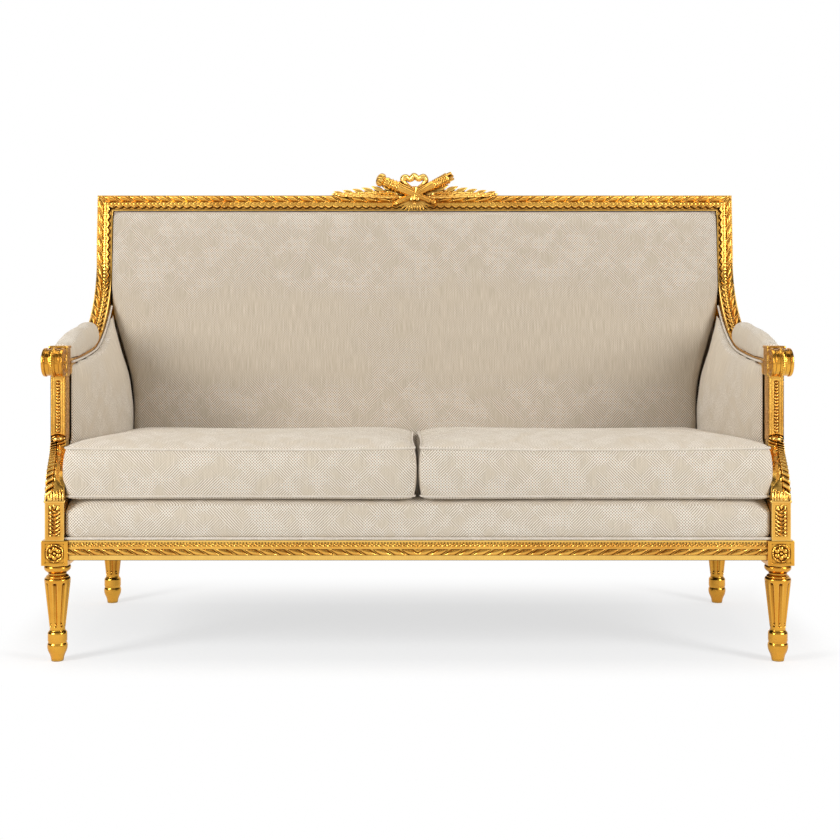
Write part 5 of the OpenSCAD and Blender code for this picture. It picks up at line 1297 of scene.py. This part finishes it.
for tag, side in hands:
    stuffed("seat_cushion_stuffed_" + tag, "seat_cushion_" + tag, 0.0075, cushion_hold, 0.008, "cushion_" + tag,
            grow=0.0015, settle=settled)
    seams = [cord(seam_line(side, z), welt_r, (0, 0, 1), closed=True) for z in (lower_seam, upper_seam)]
    points, faces = joined(*[seam[:2] for seam in seams])
    make_piece("cushion_piping_" + tag, points, faces, piping, "welt", ("cushion_welts_" + tag,),
               "cushion_" + tag, cloth=np.concatenate([seam[2] for seam in seams]))

# ---- Deck ----
# Foam and cloth over the webbing, pulled down over the rails behind a piped lower edge.
def deck_rounded(points):
    """The cloth over the front edge is pulled down in a soft round, most at the corners."""
    front = 1 - smooth_step((points[:, 1] - front_y - 0.008) / 0.05)
    corner = smooth_step((np.abs(points[:, 0]) - 0.685) / 0.067)
    high = smooth_step((points[:, 2] - 0.3) / 0.046)
    moved = points.copy()
    moved[:, 2] -= front * high * (0.0075 + 0.012 * corner ** 1.5)
    moved[:, 0] = np.clip(points[:, 0] * 1.002, -0.7526, 0.7526)
    return moved


stuffed("seat_deck_stuffed", "seat_deck_pad", 0.01,
        lambda p: 1.0 * ((p[:, 2] < 0.28) | (np.abs(p[:, 0]) > 0.735)),
        0.003, "frame", grow=0.002, settle=deck_rounded)
edge_x = np.linspace(-0.7525, 0.7525, 60)
points, faces, wound = cord(np.stack([edge_x, np.full(60, front_y + 0.0079), np.full(60, 0.2646)], 1), 0.0032,
                            (0, 0, 1))
make_piece("deck_piping", points, faces, piping, "welt", ("deck_welt",), cloth=wound)

# ---- Back pad ----
# Springs and hair under one stretched cloth, domed, with a piped edge inside the frame's lip.
def back_held(points):
    """Held 20 mm and more behind the leaning face, along the top, and beside the stiles."""
    behind = points[:, 1] - (0.158 + 0.195 * (points[:, 2] - 0.41))
    beside = smooth_step((np.abs(points[:, 0]) - 0.745) / 0.03)
    return np.maximum(np.maximum(smooth_step((behind - 0.02) / 0.03), smooth_step((points[:, 2] - 0.965) / 0.03)),
                      beside)


stuffed("back_pad_stuffed", "back_pad", 0.011, back_held, 0.005, "frame", grow=0.003, cloth=shaded_back_cloth)
lip_x, lip_down, bend = 0.7766, 0.0439, 0.0033
turn = np.linspace(0, np.pi / 2, 6)
side_x = np.concatenate([np.full(12, lip_x), lip_x - bend + bend * np.cos(turn)])
side_down = np.concatenate([np.linspace(stile_run, lip_down + bend, 13)[:-1], lip_down + bend - bend * np.sin(turn)])
across_x = np.linspace(lip_x - bend, bend - lip_x, 62)[1:-1]
line_x = np.concatenate([side_x, across_x, -side_x[::-1]])
line_down = np.concatenate([side_down, np.full(60, lip_down), side_down[::-1]])
points, faces, wound = cord(
    np.stack([line_x, front_y + rail_edge_d - line_down * math.sin(rake) + welt_r * math.cos(rake),
              back_h - line_down * math.cos(rake) - welt_r * math.sin(rake)], 1),
    welt_r, (0, -math.cos(rake), math.sin(rake)))
make_piece("back_piping", points, faces, shaded_welt_cloth, "welt", ("back_pad_welt",), cloth=wound)

# ---- Inside arms and armrests ----
# Foam and cloth inside each arm, tacked against the post in front, with piping under the
# arm rail, and a small padded armrest sewn along the rail.
def arm_drawn(points):
    """Near the post the cloth draws out sideways by 7 mm until it lies against it."""
    near_post = 1 - smooth_step((points[:, 1] - front_y - 0.15) / 0.1)
    side = np.sign(points[:, 0])
    wide = np.abs(points[:, 0]) + 0.0075 * near_post
    flush = smooth_step((wide - 0.769) / 0.004) * near_post
    return np.stack([side * np.minimum(wide + 0.003 * flush, 0.7746), points[:, 1], points[:, 2]], 1)


def pad_drawn(points):
    """The pad is sewn along the rail's edges inside, and bulges outwards over its front end."""
    side, wide = np.sign(points[:, 0]), np.abs(points[:, 0]) - post_x
    nose = 1 - smooth_step((points[:, 1] + 0.19) / 0.14)
    wide = np.where(wide < 0, wide * (0.78 + 0.2 * nose), wide * (1 + 0.35 * nose))
    return np.stack([side * (post_x + wide), points[:, 1], points[:, 2]], 1)


for tag, side in hands:
    stuffed("inside_arm_stuffed_" + tag, "inside_arm_" + tag, 0.0066, lambda p: 1.0 * (np.abs(p[:, 0]) > 0.75),
            0.003, "frame", grow=0.0018, settle=arm_drawn)
    stuffed("arm_pad_stuffed_" + tag, "arm_pad_" + tag, 0.004, lambda p: 1.0 * (p[:, 2] < 0.65), 0.002, "frame",
            grow=0.001, settle=pad_drawn)
    under = 0.0071
    at, to = curve_point(arm_line, np.linspace(0, 1, 24))
    on, along = curve_point(sweep_line, np.linspace(0, 0.58, 24)[1:])
    line = np.concatenate([at - under * left_of(to), on - under * left_of(along)])
    points, faces, wound = cord(np.stack([np.full(len(line), side * 0.76875), front_y + line[:, 0], line[:, 1]], 1),
                                welt_r, (1, 0, 0))
    make_piece("arm_piping_" + tag, points, faces, piping, "welt", ("inside_arm_welt_" + tag,), cloth=wound)


# ---- Outside back and arms ----
# Flat cloth stretched over the open frame, puffed a little between its tacked edges. It is
# nailed round the back frame, and under the arm rail and behind the support on each side.
seat_top, panel_t, cloth_gap = 0.261, 0.006, 0.0003
back_panel_top, rear_foot_d, rear_run = 0.9997, 0.630, 0.0524
arm_foot_x, arm_lean = 0.7943, 0.0439


def stretched(grid, columns, rows, inwards):
    """Cloth panel from its outer face: puffed by 2 mm, with round edges all along. Columns
    and rows tell each point's place from -1 to 1, and inwards leads to the inner face."""
    u, v = columns[None, :, None], rows[:, None, None]
    edge = np.sqrt(np.clip(1 - np.abs(u) ** 60, 0, 1) * np.clip(1 - np.abs(v) ** 60, 0, 1))
    thick = np.asarray(inwards, float)
    outer = grid + thick * 0.45 * (1 - edge) - thick / panel_t * 0.002 * (1 - u ** 2) * (1 - v ** 2)
    inner = grid + thick * (0.55 + 0.45 * edge)
    return capped_tube(np.concatenate([outer, inner[:, ::-1]], 1))


def padded_panel(name, node, shell, flat):
    """Stretched panel as a padded piece, with its cloth laid on two of its directions."""
    piece = make_piece(name, *shell, upholstery, "upholstery", (node,), cloth=shell[0][:, flat])


fine_steps = np.concatenate([[-1, -0.998, -0.993, -0.985], np.linspace(-0.97, 0.97, 41), [0.985, 0.993, 0.998, 1]])
high = seat_top + cloth_gap + (back_panel_top - seat_top) * (fine_steps[:, None] + 1) / 2
rear_d = rear_foot_d + rear_run * (high - seat_top) / (back_panel_top - seat_top)
wide = 0.7712 * fine_steps[None, :]
padded_panel("outside_back_stretched", "outside_back_panel",
             stretched(np.stack(np.broadcast_arrays(wide, front_y + rear_d, high), -1), fine_steps, fine_steps,
                       (0, -panel_t, 0)), [0, 2])

rear_t = np.linspace(0, 1, 40)
at, to = curve_point(scroll_line, rear_t)
behind_scroll = at - (scroll_half(rear_t) + cloth_gap)[:, None] * left_of(to)
on_arm, arm_to = curve_point(arm_line, np.linspace(0.2, 1, 30))
on_sweep, sweep_to = curve_point(sweep_line, np.linspace(0, 0.9, 60)[1:])
under_rail = np.concatenate([on_arm - (rail_deep + cloth_gap) * left_of(arm_to),
                             on_sweep - (rail_deep + cloth_gap) * left_of(sweep_to)])
under_rail = under_rail[under_rail[:, 0] > 0.147]
edge_line = np.concatenate([[(foot_w + cloth_gap, seat_top), (foot_w + cloth_gap, foot_top)], behind_scroll,
                            [(0.1463, 0.4665), (0.1463, under_rail[0, 1] - 0.0005)], under_rail])
edge_z = np.maximum.accumulate(edge_line[:, 1])


def arm_back_edge(high):
    """Depth of the arm panel's rear edge, which leans back with the post."""
    return 0.5937 + 0.0678 * (high - seat_top)


keep = edge_line[:, 0] < arm_back_edge(edge_z)
edge_z, edge_d = edge_z[keep], edge_line[keep, 0]
high = seat_top + cloth_gap + (edge_z[-1] - seat_top - cloth_gap) * (fine_steps[:, None] + 1) / 2
high = np.unique(np.concatenate([high.ravel(), edge_z[edge_z > seat_top + 0.001]]))[:, None]
front_d = np.interp(high, edge_z, edge_d)
back_d = arm_back_edge(high)
rows = (high[:, 0] - high.min()) / (high.max() - high.min()) * 2 - 1
for tag, side in hands:
    out_x = side * (arm_foot_x + (high - seat_top) * arm_lean)
    grid = np.stack(np.broadcast_arrays(out_x, front_y + front_d + (back_d - front_d) * (fine_steps[None, :] + 1) / 2,
                                        high), -1)
    padded_panel("outside_arm_stretched_" + tag, "outside_arm_" + tag,
                 stretched(grid, fine_steps, rows, (-side * panel_t, 0, 0)), [1, 2])
